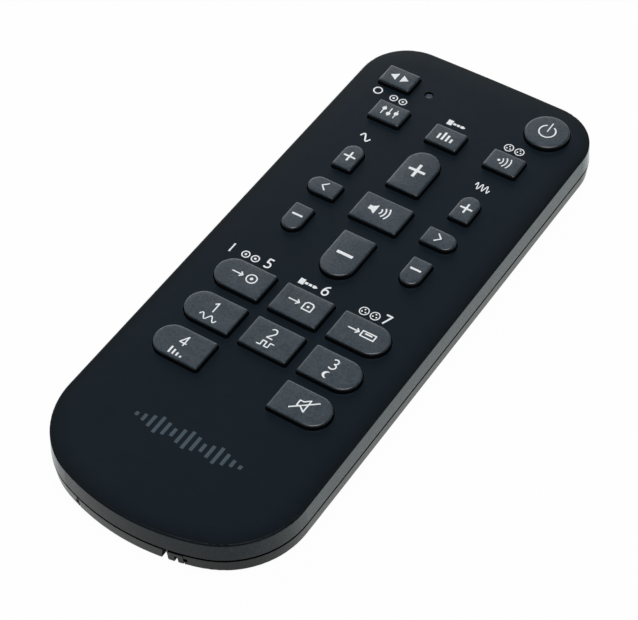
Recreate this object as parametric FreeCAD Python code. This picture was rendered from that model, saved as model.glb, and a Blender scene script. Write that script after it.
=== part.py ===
import FreeCAD, Part
import math
import os
from FreeCAD import Vector

# A slim hand-held infrared remote control, in millimetres.
# X runs across the keys, Y runs towards the infrared end, and Z is up.
# The origin is on the underside, in the middle of the casing.

# Casing outline at the top face and at the underside
HALF_WIDTH = 27.0
HALF_LENGTH = 67.5
FAR_END_RADIUS = 900.0
FAR_CORNER_RADIUS = 11.0
NEAR_END_RADIUS = 46.0
NEAR_CORNER_RADIUS = 17.5
SEAM_FLARE = 0.3
EDGE_RADIUS = 0.4
WALL = 1.7
FLOOR = 1.2
TOP_PLATE = 1.2

# Coin cell
CELL_RADIUS = 10.0
CELL_HEIGHT = 2.5
CAN_WALL = 0.3
CAN_HEIGHT = 2.2
CAN_ROUNDING = 0.25
CAP_MARGIN = 1.4
CAP_RADIUS = CELL_RADIUS - CAP_MARGIN
CAP_ROUNDING = 0.2
GASKET_DROP = 0.05

# Heights, stacked up from the tray's floor to the key tops
TRAY_FLOOR = 0.7
CELL_TOP = TRAY_FLOOR + CELL_HEIGHT
SEAM_ABOVE_CELL = 0.3
SEAM_Z = CELL_TOP + SEAM_ABOVE_CELL
BOARD_ABOVE_CELL = 0.8
BOARD_LOW = CELL_TOP + BOARD_ABOVE_CELL
BOARD_THICKNESS = 1.0
BOARD_HIGH = BOARD_LOW + BOARD_THICKNESS
PAD_THICKNESS = 0.05
KEY_TRAVEL = 0.7
PILL_GAP = 0.05
PILL_LOW = BOARD_HIGH + PAD_THICKNESS + PILL_GAP + KEY_TRAVEL
PILL_HEIGHT = 0.3
FLANGE_LOW = PILL_LOW + PILL_HEIGHT
FLANGE_THICKNESS = 0.6
FLANGE_HIGH = FLANGE_LOW + FLANGE_THICKNESS
FLANGE_PLAY = 0.1
CEILING_Z = FLANGE_HIGH + FLANGE_PLAY
CASE_HEIGHT = CEILING_Z + TOP_PLATE
KEY_PROUD = 1.1
KEY_TOP = CASE_HEIGHT + KEY_PROUD

# Seam: an open shadow line outside, a tongue inside, and blocks that snap into pockets
SHADOW_GAP = 0.4
SHADOW_DEPTH = 0.35
TONGUE_INSET = 0.95
TONGUE_HEIGHT = 1.05
TONGUE_CLEARANCE = 0.1
SNAP_LENGTH = 6.0
SNAP_DEPTH = 0.3
SNAP_HEIGHTS = (0.5, 0.9)
SNAP_PLAY = 0.1
SNAP_PITCH = 34.0

# Board and keypad in plan
BOARD_INSET = 2.1
MAT_INSET = 2.4
MAT_THICKNESS = 0.8
MAT_TOP = BOARD_HIGH + MAT_THICKNESS
PRESS_RIB_WIDTH = 0.5
PAD_RADIUS = 2.0
PAD_SPLIT = 0.3

# Keys: a cap through the top plate, a flange below it, and a pill that meets the pads
KEY_EDGE_RADIUS = 0.22
KEY_CORNER = 0.45
KEY_HOLE_CLEARANCE = 0.22
CROWN_HEIGHT = 0.17
PILL_RADIUS = 1.5
FLANGE_WIDTH = 0.45
WINDOW_WIDTH = 0.9
WEB_THICKNESS = 0.25
WEB_FOOT = 0.3
WEB_LOW = BOARD_HIGH + WEB_FOOT

# Key sizes as (across X, along Y)
SMALL_KEY = (7.65, 5.6)
VOLUME_KEY = (11.2, 7.8)
STEP_KEY = (7.7, 12.1)
TRIM_KEY = (4.6, 7.25)
BALANCE_KEY = (7.15, 4.65)
INPUT_KEY = (11.1, 7.7)
SIDE_INPUT_KEY = (12.05, 7.7)
POWER_DIAMETER = 9.65
POWER_KEY = (POWER_DIAMETER, POWER_DIAMETER)

# The power key keeps its web clear of the press rib round the far right corner
POWER_ANGLE = math.radians(61.3)
POWER_ROOM = MAT_INSET + PRESS_RIB_WIDTH + WINDOW_WIDTH + POWER_DIAMETER / 2
POWER_REACH = FAR_CORNER_RADIUS - POWER_ROOM
POWER_X = HALF_WIDTH - FAR_CORNER_RADIUS + POWER_REACH * math.cos(POWER_ANGLE)
POWER_Y = HALF_LENGTH - FAR_CORNER_RADIUS + POWER_REACH * math.sin(POWER_ANGLE)

# Key places across: the select key from the casing's side, the rest from the middle
SELECT_X = -(HALF_WIDTH - 9.2)
COLUMN = 14.06
BALANCE_X = 13.88
INPUT_GAP_X = 2.455
SIDE_INPUT_X = (INPUT_KEY[0] + SIDE_INPUT_KEY[0]) / 2 + INPUT_GAP_X

# Key places along: rows follow each other from the far end, with these gaps between keys
SELECT_Y = HALF_LENGTH - 11.3
FUNCTION_GAP = 4.7
FUNCTION_Y = SELECT_Y - SMALL_KEY[1] - FUNCTION_GAP
STEP_GAP = 3.72
STEP_OFFSET = (VOLUME_KEY[1] + STEP_KEY[1]) / 2 + STEP_GAP
TRIM_GAP = 4.12
TRIM_OFFSET = (BALANCE_KEY[1] + TRIM_KEY[1]) / 2 + TRIM_GAP
VOLUME_GAP = 3.13
VOLUME_Y = FUNCTION_Y - SMALL_KEY[1] / 2 - VOLUME_GAP - STEP_KEY[1] / 2 - STEP_OFFSET
INPUT_ROW_GAP = 5.83
INPUT_Y = VOLUME_Y - STEP_OFFSET - STEP_KEY[1] / 2 - INPUT_ROW_GAP - INPUT_KEY[1] / 2
INPUT_GAP_Y = 2.53
INPUT_PITCH = INPUT_KEY[1] + INPUT_GAP_Y
SECOND_ROW_Y = INPUT_Y - INPUT_PITCH
THIRD_ROW_Y = SECOND_ROW_Y - INPUT_PITCH

# Indicator beside the select key
INDICATOR = (SELECT_X + 7.6, SELECT_Y - 0.3)
INDICATOR_HOLE_RADIUS = 1.0
LENS_CLEARANCE = 0.14
LENS_RECESS = 0.2
LENS_FOOT_RADIUS = 1.9
LENS_FOOT_PLAY = 0.05
LIGHT_WELL_RADIUS = 1.3
CHIP_LIGHT = (1.6, 0.8, 0.55)

# Infrared window in the far end wall, with a flange inside
WINDOW_HALF = 6.5
WINDOW_LINTEL = 0.7
WINDOW_TOP_Z = CEILING_Z - WINDOW_LINTEL
WINDOW_FIT = 0.08
WINDOW_FLANGE = 0.5
WINDOW_FLANGE_OVERLAP = 0.8
WINDOW_FLANGE_RISE = 0.4
WINDOW_FLANGE_PLAY = 0.02
WINDOW_ROOM = 0.4
WINDOW_WALL_Y = HALF_LENGTH - WALL - WINDOW_FIT
WINDOW_BACK_Y = WINDOW_WALL_Y - WINDOW_FLANGE

# Infrared emitter, lying along Y behind its window, at the middle of the board's edge
EMITTER_Z = (BOARD_LOW + BOARD_HIGH) / 2
EMITTER_RADIUS = 1.5
EMITTER_RIM_RADIUS = 1.9
EMITTER_RIM = 0.9
EMITTER_LENGTH = 4.5
EMITTER_SETBACK = 1.12
EMITTER_TIP_Y = WINDOW_BACK_Y - EMITTER_SETBACK
EMITTER_BACK_Y = EMITTER_TIP_Y - EMITTER_LENGTH
EMITTER_CLEARANCE = 0.2
EMITTER_LEAD = 0.45
EMITTER_LEAD_PITCH = 2.54
EMITTER_LEAD_RUN = 2.6
EMITTER_LEAD_RISE = 0.35
EMITTER_LEAD_DROP = 0.2
LEAD_ROOM = 1.0

# Board screws, driven from below into bosses under the top plate
BOSS_RADIUS = 1.7
BOSS_CLEARANCE = 0.2
PILOT_RADIUS = 0.8
PILOT_SKIN = 0.7
PILOT_TOP = CASE_HEIGHT - PILOT_SKIN
SCREW_RADIUS = 0.74
SCREW_TIP_GAP = 0.3
SCREW_TOP = PILOT_TOP - SCREW_TIP_GAP
SCREW_HEAD_RADIUS = 1.4
SCREW_HEAD = 0.9
SCREW_HEAD_ROUNDING = 0.35
SCREW_SLOT = (1.5, 0.3, 0.4)
BOARD_HOLE_RADIUS = 0.95
SCREW_PLACES = (
    (6.5, HALF_LENGTH - 6.2),
    (HALF_WIDTH - 5.4, FUNCTION_Y - 9.8),
    (HALF_WIDTH - 4.7, INPUT_Y + 10.25),
    (HALF_WIDTH - 10.4, THIRD_ROW_Y - 13.79),
)

# Battery tray that slides in a bay in the bottom shell, open at the near end
TRAY_FIT = 0.12
TRAY_SIDE_WALL = 1.78
TRAY_FRONT_WALL = 1.6
TRAY_RIM_Z = TRAY_FLOOR + CAN_HEIGHT
TRAY_FACE_Z = SEAM_Z - SHADOW_GAP / 2
TRAY_END_GAP = 0.35
TRAY_END_GAP_DEPTH = 2.8
POCKET_FIT = 0.15
POCKET_RADIUS = CELL_RADIUS + POCKET_FIT
CELL_SETBACK = 0.05
CELL_Y = -HALF_LENGTH + TRAY_FRONT_WALL + POCKET_RADIUS + CELL_SETBACK
CORE_WALL = 1.2
BAY_HALF_WIDTH = POCKET_RADIUS + TRAY_SIDE_WALL + TRAY_FIT
BAY_WALL = 1.4
BAY_RISE = 0.2
BAY_TOP = CELL_TOP + BAY_RISE

# Rails on the tray's sides, and their grooves in the bay
RAIL_DEPTH = 0.6
RAIL_ROOT = 1.0
RAIL_HEIGHTS = (TRAY_FLOOR + 0.6, TRAY_FLOOR + 1.4)
RAIL_CLEARANCE = 0.15
LEFT_RAIL_Y = (-HALF_LENGTH + 2.9, CELL_Y)
RIGHT_RAIL_Y = (CELL_Y - 2.0, CELL_Y + 1.4)
GROOVE_RUN_OUT = 0.6

# Latch: a springy arm beside the tray with a two-pronged finger at the end face
LATCH_ROOT = (BAY_HALF_WIDTH - 0.85, CELL_Y - 2.15)
LATCH_KNUCKLE = 0.6
LATCH_KNUCKLE_FIT = 0.06
LATCH_ARM_HALF = 0.37
LATCH_HEIGHTS = (0.15, TRAY_FACE_Z - 0.29)
LATCH_PRONGS_X = (
    (LATCH_ROOT[0] - 2.3, LATCH_ROOT[0] - 1.0),
    (LATCH_ROOT[0] - LATCH_ARM_HALF, LATCH_ROOT[0] + 0.7),
)
LATCH_PRONG_DEPTH = 3.2
LATCH_PRONG_ROUNDING = 0.45
LATCH_BRIDGE_DEPTH = 2.5
LATCH_BRIDGE_HEIGHT = 0.9
LATCH_TOOTH = 0.3
LATCH_TOOTH_Y = (-HALF_LENGTH + 3.8, -HALF_LENGTH + 5.0)
LATCH_TOOTH_SET_IN = 0.85
CATCH_PLAY = 0.2
CATCH_ROOT = 0.5

# Room cut in the tray for the latch; the tray's end beside it leans
TRAY_END_X_LOW = LATCH_ROOT[0] - 3.7
TRAY_END_X_TOP = LATCH_ROOT[0] - 3.05
LATCH_ROOM_BEND_Y = -HALF_LENGTH + 4.5
LATCH_ROOM_ELBOW = (LATCH_ROOT[0] - 1.2, LATCH_ROOT[1] - 1.85)
LATCH_ROOM_BACK = (LATCH_ROOT[0] - 0.85, LATCH_ROOT[1] - 0.35)

# Battery contacts, strips fixed under the board
STRIP = 0.2
CONTACT_CLEARANCE = 0.02
POSITIVE_HALF = 2.0
POSITIVE_ROOM = 1.4
POSITIVE_LOW_Z = TRAY_FLOOR + 0.3
POSITIVE_RUN = 7.58
NEGATIVE_X = 6.5
NEGATIVE_HALF = 1.5
NEGATIVE_BEND_Y = CELL_Y + BAY_HALF_WIDTH + 0.55
NEGATIVE_ROOT_Y = NEGATIVE_BEND_Y + 3.5
NEGATIVE_TOUCH_Y = CELL_Y + 5.6
NEGATIVE_TIP_Y = NEGATIVE_TOUCH_Y - 1.5
NEGATIVE_TIP_LIFT = 0.3

# Posts on the floor that hold the board up
POST_RADIUS = 1.5
POST_PLACES = (
    (HALF_WIDTH - 6.9, FUNCTION_Y + 2.2),
    (HALF_WIDTH - 6.9, VOLUME_Y - 2.15),
    (HALF_WIDTH - 6.9, SECOND_ROW_Y - 0.5),
    (8.0, CELL_Y + 22.6),
)

# Parts under the board, sizes as (X, Y, Z)
CHIP_SIZE = (12.8, 7.5, 2.1)
CHIP_PLACE = (0.0, VOLUME_Y - 15.15)
CHIP_STANDOFF = 0.12
LEAD_COUNT = 10
LEAD_PITCH = 1.27
LEAD_WIDTH = 0.42
LEAD_THICKNESS = 0.25
LEAD_KNEE = 0.5
LEAD_REACH = 1.4
RESONATOR_SIZE = (7.4, 3.4, 1.8)
RESONATOR_PLACE = (-1.0, CHIP_PLACE[1] - 11.0)
RESERVOIR_SIZE = (7.3, 4.3, 1.9)
RESERVOIR_PLACE = (-6.0, SECOND_ROW_Y - 5.5)
SMALL_CAPACITOR = (1.6, 0.8, 0.8)
SMALL_CAPACITOR_PLACES = (
    (-10.0, CHIP_PLACE[1] + 4.0),
    (-10.0, CHIP_PLACE[1] - 2.0),
    (6.0, RESONATOR_PLACE[1]),
    (4.0, RESERVOIR_PLACE[1]),
)
RESISTOR = (1.6, 0.8, 0.5)
KEY_RESISTOR_Y = VOLUME_Y + 3.85
KEY_RESISTOR_COLUMNS = (-7.0, -3.5, 0.0, 3.5)
LAMP_DRIVER_Y = FUNCTION_Y + 4.2
LAMP_RESISTOR_COLUMNS = (-10.1, -5.0)
TRANSISTOR_SIZE = (2.9, 1.3, 1.0)
TRANSISTOR_PLACE = (2.0, LAMP_DRIVER_Y)
TRANSISTOR_STANDOFF = 0.1
TRANSISTOR_LEG = (0.4, 0.9, 0.3)
TRANSISTOR_LEG_OFFSET = (0.95, 1.0)

# How far cutting forms run past a face, and how far joined forms reach into each other
PAST = 1.0
REACH = 0.2
SAME_HEIGHT = 0.01

UP = Vector(0, 0, 1)


# Outlines and simple solids

def arc_to(centre, radius, start_angle, end_angle, z):
    """An arc in plan about a centre, from one angle to another, in radians."""
    def at(angle):
        return Vector(centre[0] + radius * math.cos(angle), centre[1] + radius * math.sin(angle), z)
    return Part.Arc(at(start_angle), at((start_angle + end_angle) / 2), at(end_angle)).toShape()


def end_arcs(end, end_radius, corner, inset, z):
    """The corner, crowned end and second corner at one end (1 far, -1 near), anticlockwise."""
    centre_y = end * (HALF_LENGTH - end_radius)
    corner_x = HALF_WIDTH - corner
    lean = math.asin(corner_x / (end_radius - corner))
    corner_y = centre_y + end * (end_radius - corner) * math.cos(lean)
    start = 0 if end > 0 else math.pi
    finish = start + math.pi
    turn = math.pi / 2 - lean
    return [
        arc_to((end * corner_x, corner_y), corner - inset, start, start + turn, z),
        arc_to((0, centre_y), end_radius - inset, start + turn, finish - turn, z),
        arc_to((-end * corner_x, corner_y), corner - inset, finish - turn, finish, z),
    ]


def case_wire(inset, z):
    """The casing's outline in plan, moved inwards by inset."""
    far = end_arcs(1, FAR_END_RADIUS, FAR_CORNER_RADIUS, inset, z)
    near = end_arcs(-1, NEAR_END_RADIUS, NEAR_CORNER_RADIUS, inset, z)
    edges = []
    for arcs, following in ((far, near), (near, far)):
        leave = arcs[-1].Vertexes[-1].Point
        arrive = following[0].Vertexes[0].Point
        edges += arcs + [Part.LineSegment(leave, arrive).toShape()]
    return Part.Wire(edges)


def case_plate(inset, low, high):
    """A flat slab in the casing's outline."""
    return Part.Face(case_wire(inset, low)).extrude(UP * (high - low))


def case_ring(outer_inset, inner_inset, low, high):
    """The strip between two insets of the casing's outline."""
    return case_plate(outer_inset, low, high).cut(case_plate(inner_inset, low, high))


def rounded_wire(x, y, size, radii, z):
    """A rectangle in plan with four corner radii: far right, far left, near left, near right."""
    half_x = size[0] / 2
    half_y = size[1] / 2
    corners = []
    for index, radius in enumerate(radii):
        sign_x = 1 if index in (0, 3) else -1
        sign_y = 1 if index < 2 else -1
        centre = (x + sign_x * (half_x - radius), y + sign_y * (half_y - radius))
        start = index * math.pi / 2
        corners.append(arc_to(centre, radius, start, start + math.pi / 2, z))
    edges = list(corners)
    for index, corner in enumerate(corners):
        leave = corner.Vertexes[1].Point
        arrive = corners[(index + 1) % 4].Vertexes[0].Point
        if leave.distanceToPoint(arrive) > 1e-6:
            edges.append(Part.LineSegment(leave, arrive).toShape())
    return Part.Wire(Part.__sortEdges__(edges))


def box(x_range, y_range, z_range):
    """A box between two corners."""
    low = Vector(x_range[0], y_range[0], z_range[0])
    high = Vector(x_range[1], y_range[1], z_range[1])
    size = high - low
    return Part.makeBox(size.x, size.y, size.z, low)


def block(place, size, low):
    """A box centred in plan on a place."""
    half_x = size[0] / 2
    half_y = size[1] / 2
    x_range = (place[0] - half_x, place[0] + half_x)
    return box(x_range, (place[1] - half_y, place[1] + half_y), (low, low + size[2]))


def post(place, radius, low, high):
    """An upright cylinder."""
    return Part.makeCylinder(radius, high - low, Vector(place[0], place[1], low))


def posts_at(places, radius, low, high):
    """Upright cylinders at places given for the right side and mirrored to the left."""
    return [post((side * x, y), radius, low, high) for x, y in places for side in (1, -1)]


def strip_along_x(points, half_width, x):
    """A bent strip: a closed profile of (y, z) points, as wide as twice half_width, centred on x."""
    corners = [Vector(x - half_width, py, pz) for py, pz in points]
    return Part.Face(Part.makePolygon(corners + corners[:1])).extrude(Vector(2 * half_width, 0, 0))


def fillet_at(shape, radius, low, high):
    """Rounds the edges that lie wholly between two heights."""
    edges = []
    for edge in shape.Edges:
        bounds = edge.BoundBox
        if bounds.ZMin > low - SAME_HEIGHT and bounds.ZMax < high + SAME_HEIGHT:
            edges.append(edge)
    return shape.makeFillet(radius, edges)


# The casing's outer form

def upper_form():
    """The solid outer form above the seam, leaning in towards the top face."""
    form = Part.makeLoft([case_wire(-SEAM_FLARE, SEAM_Z), case_wire(0, CASE_HEIGHT)], True, True)
    return fillet_at(form, EDGE_RADIUS, CASE_HEIGHT, CASE_HEIGHT)


def lower_form():
    """The solid outer form below the seam, leaning in towards the underside."""
    form = Part.makeLoft([case_wire(0, 0), case_wire(-SEAM_FLARE, SEAM_Z)], True, True)
    return fillet_at(form, EDGE_RADIUS, 0, 0)


def shadow_ring(low, high):
    """What is cut away outside to open the shadow line at the seam."""
    return case_ring(-SEAM_FLARE - PAST, SHADOW_DEPTH, low, high)


# Keys

def corner_radii(kind, size):
    """Corner radii of a key: block, round, or with one end a half circle."""
    if kind == "block":
        return (KEY_CORNER,) * 4
    half = min(size) / 2
    if kind == "round":
        return (half,) * 4
    rounded = {"far": (0, 1), "left": (1, 2), "near": (2, 3), "right": (3, 0)}[kind]
    return tuple(half if corner in rounded else KEY_CORNER for corner in range(4))


def key_wire(key, grow, z):
    """A key's outline in plan, grown all round."""
    kind, x, y, size = key[1:]
    radii = [radius + grow for radius in corner_radii(kind, size)]
    return rounded_wire(x, y, (size[0] + 2 * grow, size[1] + 2 * grow), radii, z)


def key_prism(key, grow, low, high):
    """An upright solid in a key's outline."""
    return Part.Face(key_wire(key, grow, low)).extrude(UP * (high - low))


def key_table():
    """Every key as (name, kind, x, y, size)."""
    keys = [
        ("key_select", "block", SELECT_X, SELECT_Y, SMALL_KEY),
        ("key_power", "round", POWER_X, POWER_Y, POWER_KEY),
        ("key_tone", "block", -COLUMN, FUNCTION_Y, SMALL_KEY),
        ("key_equaliser", "block", 0.0, FUNCTION_Y, SMALL_KEY),
        ("key_loudness", "block", COLUMN, FUNCTION_Y, SMALL_KEY),
        ("key_volume", "block", 0.0, VOLUME_Y, VOLUME_KEY),
        ("key_volume_up", "far", 0.0, VOLUME_Y + STEP_OFFSET, STEP_KEY),
        ("key_volume_down", "near", 0.0, VOLUME_Y - STEP_OFFSET, STEP_KEY),
        ("key_balance_left", "left", -BALANCE_X, VOLUME_Y, BALANCE_KEY),
        ("key_balance_right", "right", BALANCE_X, VOLUME_Y, BALANCE_KEY),
    ]
    for name, x in (("key_bass", -COLUMN), ("key_treble", COLUMN)):
        keys.append((name + "_up", "far", x, VOLUME_Y + TRIM_OFFSET, TRIM_KEY))
        keys.append((name + "_down", "near", x, VOLUME_Y - TRIM_OFFSET, TRIM_KEY))
    rows = (
        (INPUT_Y, "key_coaxial_input", "key_optical_input", "key_usb_input"),
        (SECOND_ROW_Y, "key_1", "key_2", "key_3"),
        (THIRD_ROW_Y, "key_4", None, "key_mute"),
    )
    for y, left, middle, right in rows:
        keys.append((left, "left", -SIDE_INPUT_X, y, SIDE_INPUT_KEY))
        if middle:
            keys.append((middle, "block", 0.0, y, INPUT_KEY))
        keys.append((right, "right", SIDE_INPUT_X, y, SIDE_INPUT_KEY))
    return keys


def crowned_cap(key, top):
    """A key's cap with its top rounded across X, highest along the middle."""
    x, y, size = key[2:]
    half = size[0] / 2
    crown_radius = (half * half + CROWN_HEIGHT * CROWN_HEIGHT) / (2 * CROWN_HEIGHT)
    start = Vector(x, y - size[1], top - crown_radius)
    crown = Part.makeCylinder(crown_radius, 2 * size[1], start, Vector(0, 1, 0))
    return key_prism(key, 0, FLANGE_LOW, top).common(crown)


def key_solid(key):
    """A silicone key: cap, hidden flange under the top plate and the conductive pill below."""
    if key[0] in ("key_volume_up", "key_volume_down"):
        top = KEY_TOP + CROWN_HEIGHT / 2
        cap = crowned_cap(key, top)
    else:
        top = KEY_TOP
        cap = key_prism(key, 0, FLANGE_LOW, top)
    cap = fillet_at(cap, KEY_EDGE_RADIUS, top - CROWN_HEIGHT, top)
    flange = key_prism(key, FLANGE_WIDTH, FLANGE_LOW, FLANGE_HIGH)
    pill = post(key[2:4], PILL_RADIUS, PILL_LOW, FLANGE_LOW)
    return cap.fuse([flange, pill]).removeSplitter()


def key_web(key):
    """The thin leaning skirt from a key's flange down to the edge of its window in the mat."""
    foot = key_wire(key, WINDOW_WIDTH, WEB_LOW)
    head = key_wire(key, FLANGE_WIDTH, FLANGE_LOW)
    inner_foot = key_wire(key, WINDOW_WIDTH - WEB_THICKNESS, WEB_LOW)
    inner_head = key_wire(key, FLANGE_WIDTH - WEB_THICKNESS, FLANGE_LOW)
    skirt = Part.makeLoft([foot, head], True, True)
    return skirt.cut(Part.makeLoft([inner_foot, inner_head], True, True))


def contact_pads(key):
    """Two half-round carbon pads, printed on the board with a gap between them."""
    place = key[2:4]
    disc = post(place, PAD_RADIUS, BOARD_HIGH, BOARD_HIGH + PAD_THICKNESS)
    split = block(place, (PAD_SPLIT, 2 * PAD_RADIUS + PAST, 2 * PAST), BOARD_HIGH - PAST)
    return disc.cut(split).Solids


# Casing pieces

def snap_blocks(play):
    """Blocks on the tongue's long sides where the halves snap together, or pockets with play."""
    face = HALF_WIDTH - TONGUE_INSET
    half = SNAP_LENGTH / 2 + 2 * play
    z_range = (SEAM_Z + SNAP_HEIGHTS[0] - play, SEAM_Z + SNAP_HEIGHTS[1] + play)
    blocks = []
    for side in (1, -1):
        x_range = sorted((side * (face - REACH), side * (face + SNAP_DEPTH + play)))
        for y in (-SNAP_PITCH, 0, SNAP_PITCH):
            blocks.append(box(x_range, (y - half, y + half), z_range))
    return blocks


def window_opening(grow, low, high):
    """The slot in the far end wall for the infrared window."""
    half = WINDOW_HALF + grow
    return box((-half, half), (HALF_LENGTH - 2 * WALL, HALF_LENGTH + PAST), (low, high))


def top_shell(keys):
    """The upper half of the casing: top plate with the key holes, side band and bosses."""
    shell = upper_form().cut(case_plate(WALL, SEAM_Z - PAST, CEILING_Z))
    tongue_room = TONGUE_INSET - TONGUE_CLEARANCE
    tongue_top = SEAM_Z + TONGUE_HEIGHT + TONGUE_CLEARANCE
    shell = shell.cut(case_plate(tongue_room, SEAM_Z - PAST, tongue_top))
    shell = shell.cut(shadow_ring(SEAM_Z - PAST, SEAM_Z + SHADOW_GAP / 2))
    shell = shell.cut(snap_blocks(SNAP_PLAY))
    rib = case_ring(MAT_INSET, MAT_INSET + PRESS_RIB_WIDTH, MAT_TOP, CEILING_Z)
    rib_gap = WINDOW_HALF + 2 * WINDOW_FLANGE_OVERLAP
    rib = rib.cut(box((-rib_gap, rib_gap), (0, HALF_LENGTH), (MAT_TOP - PAST, CASE_HEIGHT)))
    shell = shell.fuse([rib] + posts_at(SCREW_PLACES, BOSS_RADIUS, BOARD_HIGH, CEILING_Z))
    cuts = posts_at(SCREW_PLACES, PILOT_RADIUS, BOARD_HIGH - PAST, PILOT_TOP)
    above = CASE_HEIGHT + PAST
    cuts += [key_prism(key, KEY_HOLE_CLEARANCE, CEILING_Z - PAST, above) for key in keys]
    cuts.append(post(INDICATOR, INDICATOR_HOLE_RADIUS, CEILING_Z - PAST, above))
    cuts.append(window_opening(0, SEAM_Z - PAST, WINDOW_TOP_Z))
    return shell.cut(cuts)


def bay_prism(grow, low, high):
    """The battery bay in plan, open at the near end and half round at the back."""
    half = BAY_HALF_WIDTH + grow
    straight = box((-half, half), (-HALF_LENGTH - PAST, CELL_Y), (low, high))
    return straight.fuse(post((0, CELL_Y), half, low, high)).removeSplitter()


def rail(side, y_range, clearance):
    """A rib on the tray's side, or with clearance the groove that it runs in."""
    face = BAY_HALF_WIDTH - TRAY_FIT
    x_range = sorted((side * (face - RAIL_ROOT), side * (face + RAIL_DEPTH + clearance)))
    return box(x_range, y_range, (RAIL_HEIGHTS[0] - clearance, RAIL_HEIGHTS[1] + clearance))


def latch_tooth(x_range, play):
    """The latch's tooth between two places across, or with play the room around it."""
    low, high = LATCH_HEIGHTS
    return box(
        x_range,
        (LATCH_TOOTH_Y[0] - play, LATCH_TOOTH_Y[1] + play),
        (low + LATCH_TOOTH_SET_IN - play, high - LATCH_TOOTH_SET_IN + play),
    )


def bottom_shell():
    """The lower half of the casing: floor, side band, tongue, posts and the battery bay."""
    shell = lower_form().cut(case_plate(WALL, FLOOR, SEAM_Z + PAST))
    shell = shell.cut(shadow_ring(SEAM_Z - SHADOW_GAP / 2, SEAM_Z + PAST))
    tongue = case_ring(TONGUE_INSET, WALL, SEAM_Z - REACH, SEAM_Z + TONGUE_HEIGHT)
    tongue = tongue.cut(window_opening(WINDOW_FLANGE_OVERLAP + REACH, SEAM_Z, CASE_HEIGHT))
    bay = bay_prism(BAY_WALL, FLOOR - REACH, BAY_TOP).common(case_plate(WALL - REACH, 0, BAY_TOP))
    posts = posts_at(POST_PLACES, POST_RADIUS, FLOOR - REACH, BOARD_LOW)
    shell = shell.fuse([tongue, bay] + posts + snap_blocks(0))
    groove_y = (-HALF_LENGTH - PAST, max(LEFT_RAIL_Y[1], RIGHT_RAIL_Y[1]) + GROOVE_RUN_OUT)
    cuts = [
        bay_prism(0, -PAST, SEAM_Z),
        rail(1, groove_y, RAIL_CLEARANCE),
        rail(-1, groove_y, RAIL_CLEARANCE),
        latch_tooth((BAY_HALF_WIDTH - CATCH_ROOT, BAY_HALF_WIDTH + 2 * LATCH_TOOTH), CATCH_PLAY),
    ]
    return shell.cut(cuts).removeSplitter()


def infrared_window():
    """The dark window: a plug that fills its slot flush, on a wider flange inside the wall."""
    low = SEAM_Z + SHADOW_GAP / 2
    plug = upper_form().common(window_opening(-WINDOW_FIT, low, WINDOW_TOP_Z - WINDOW_FIT))
    plug = plug.cut(case_plate(WALL + WINDOW_FIT, 0, CASE_HEIGHT))
    half = WINDOW_HALF + WINDOW_FLANGE_OVERLAP
    flange_y = (WINDOW_BACK_Y, WINDOW_WALL_Y - WINDOW_FLANGE_PLAY)
    flange = box((-half, half), flange_y, (low, WINDOW_TOP_Z + WINDOW_FLANGE_RISE))
    neck_half = WINDOW_HALF - PAST
    neck_y = (WINDOW_BACK_Y, WINDOW_WALL_Y + REACH)
    neck = box((-neck_half, neck_half), neck_y, (low, WINDOW_TOP_Z - WINDOW_ROOM))
    return plug.fuse([flange, neck]).removeSplitter()


# Keypad and board

def flange_room(low, high):
    """The room kept clear for the infrared window's flange."""
    half = WINDOW_HALF + WINDOW_FLANGE_OVERLAP + WINDOW_ROOM
    return box((-half, half), (WINDOW_BACK_Y - WINDOW_ROOM, HALF_LENGTH), (low, high))


def keypad_mat(keys):
    """The silicone sheet on the board, with a window around each key's flange."""
    low = BOARD_HIGH - PAST
    high = MAT_TOP + PAST
    cuts = [key_prism(key, WINDOW_WIDTH, low, high) for key in keys]
    cuts += posts_at(SCREW_PLACES, BOSS_RADIUS + BOSS_CLEARANCE, low, high)
    cuts.append(post(INDICATOR, LIGHT_WELL_RADIUS, low, high))
    lead_half = EMITTER_LEAD_PITCH / 2 + LEAD_ROOM
    lead_start = EMITTER_BACK_Y - EMITTER_LEAD_RUN - WINDOW_ROOM
    cuts.append(box((-lead_half, lead_half), (lead_start, HALF_LENGTH), (low, high)))
    cuts.append(flange_room(low, high))
    return case_plate(MAT_INSET, BOARD_HIGH, MAT_TOP).cut(cuts)


def circuit_board():
    """The board, with screw holes, a notch for the emitter and room for the window's flange."""
    low = BOARD_LOW - PAST
    high = BOARD_HIGH + PAST
    cuts = posts_at(SCREW_PLACES, BOARD_HOLE_RADIUS, low, high)
    notch = EMITTER_RIM_RADIUS + EMITTER_CLEARANCE
    cuts.append(box((-notch, notch), (EMITTER_BACK_Y - WINDOW_ROOM, HALF_LENGTH), (low, high)))
    cuts.append(flange_room(low, high))
    return case_plate(BOARD_INSET, BOARD_LOW, BOARD_HIGH).cut(cuts)


def board_screw(place):
    """A pan-head screw, head down, with a cross slot."""
    head_low = BOARD_LOW - SCREW_HEAD
    head = post(place, SCREW_HEAD_RADIUS, head_low, BOARD_LOW)
    head = fillet_at(head, SCREW_HEAD_ROUNDING, head_low, head_low)
    screw = head.fuse(post(place, SCREW_RADIUS, BOARD_LOW, SCREW_TOP)).removeSplitter()
    length, width, depth = SCREW_SLOT
    slots = [block(place, (length, width, depth), head_low), block(place, (width, length, depth), head_low)]
    return screw.cut(slots)


def indicator_lens():
    """A clear stepped peg: its foot stands on the mat, its stem ends just below the top face."""
    foot = post(INDICATOR, LENS_FOOT_RADIUS, MAT_TOP, CEILING_Z - LENS_FOOT_PLAY)
    stem_radius = INDICATOR_HOLE_RADIUS - LENS_CLEARANCE
    stem = post(INDICATOR, stem_radius, MAT_TOP, CASE_HEIGHT - LENS_RECESS)
    return foot.fuse(stem).removeSplitter()


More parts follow.
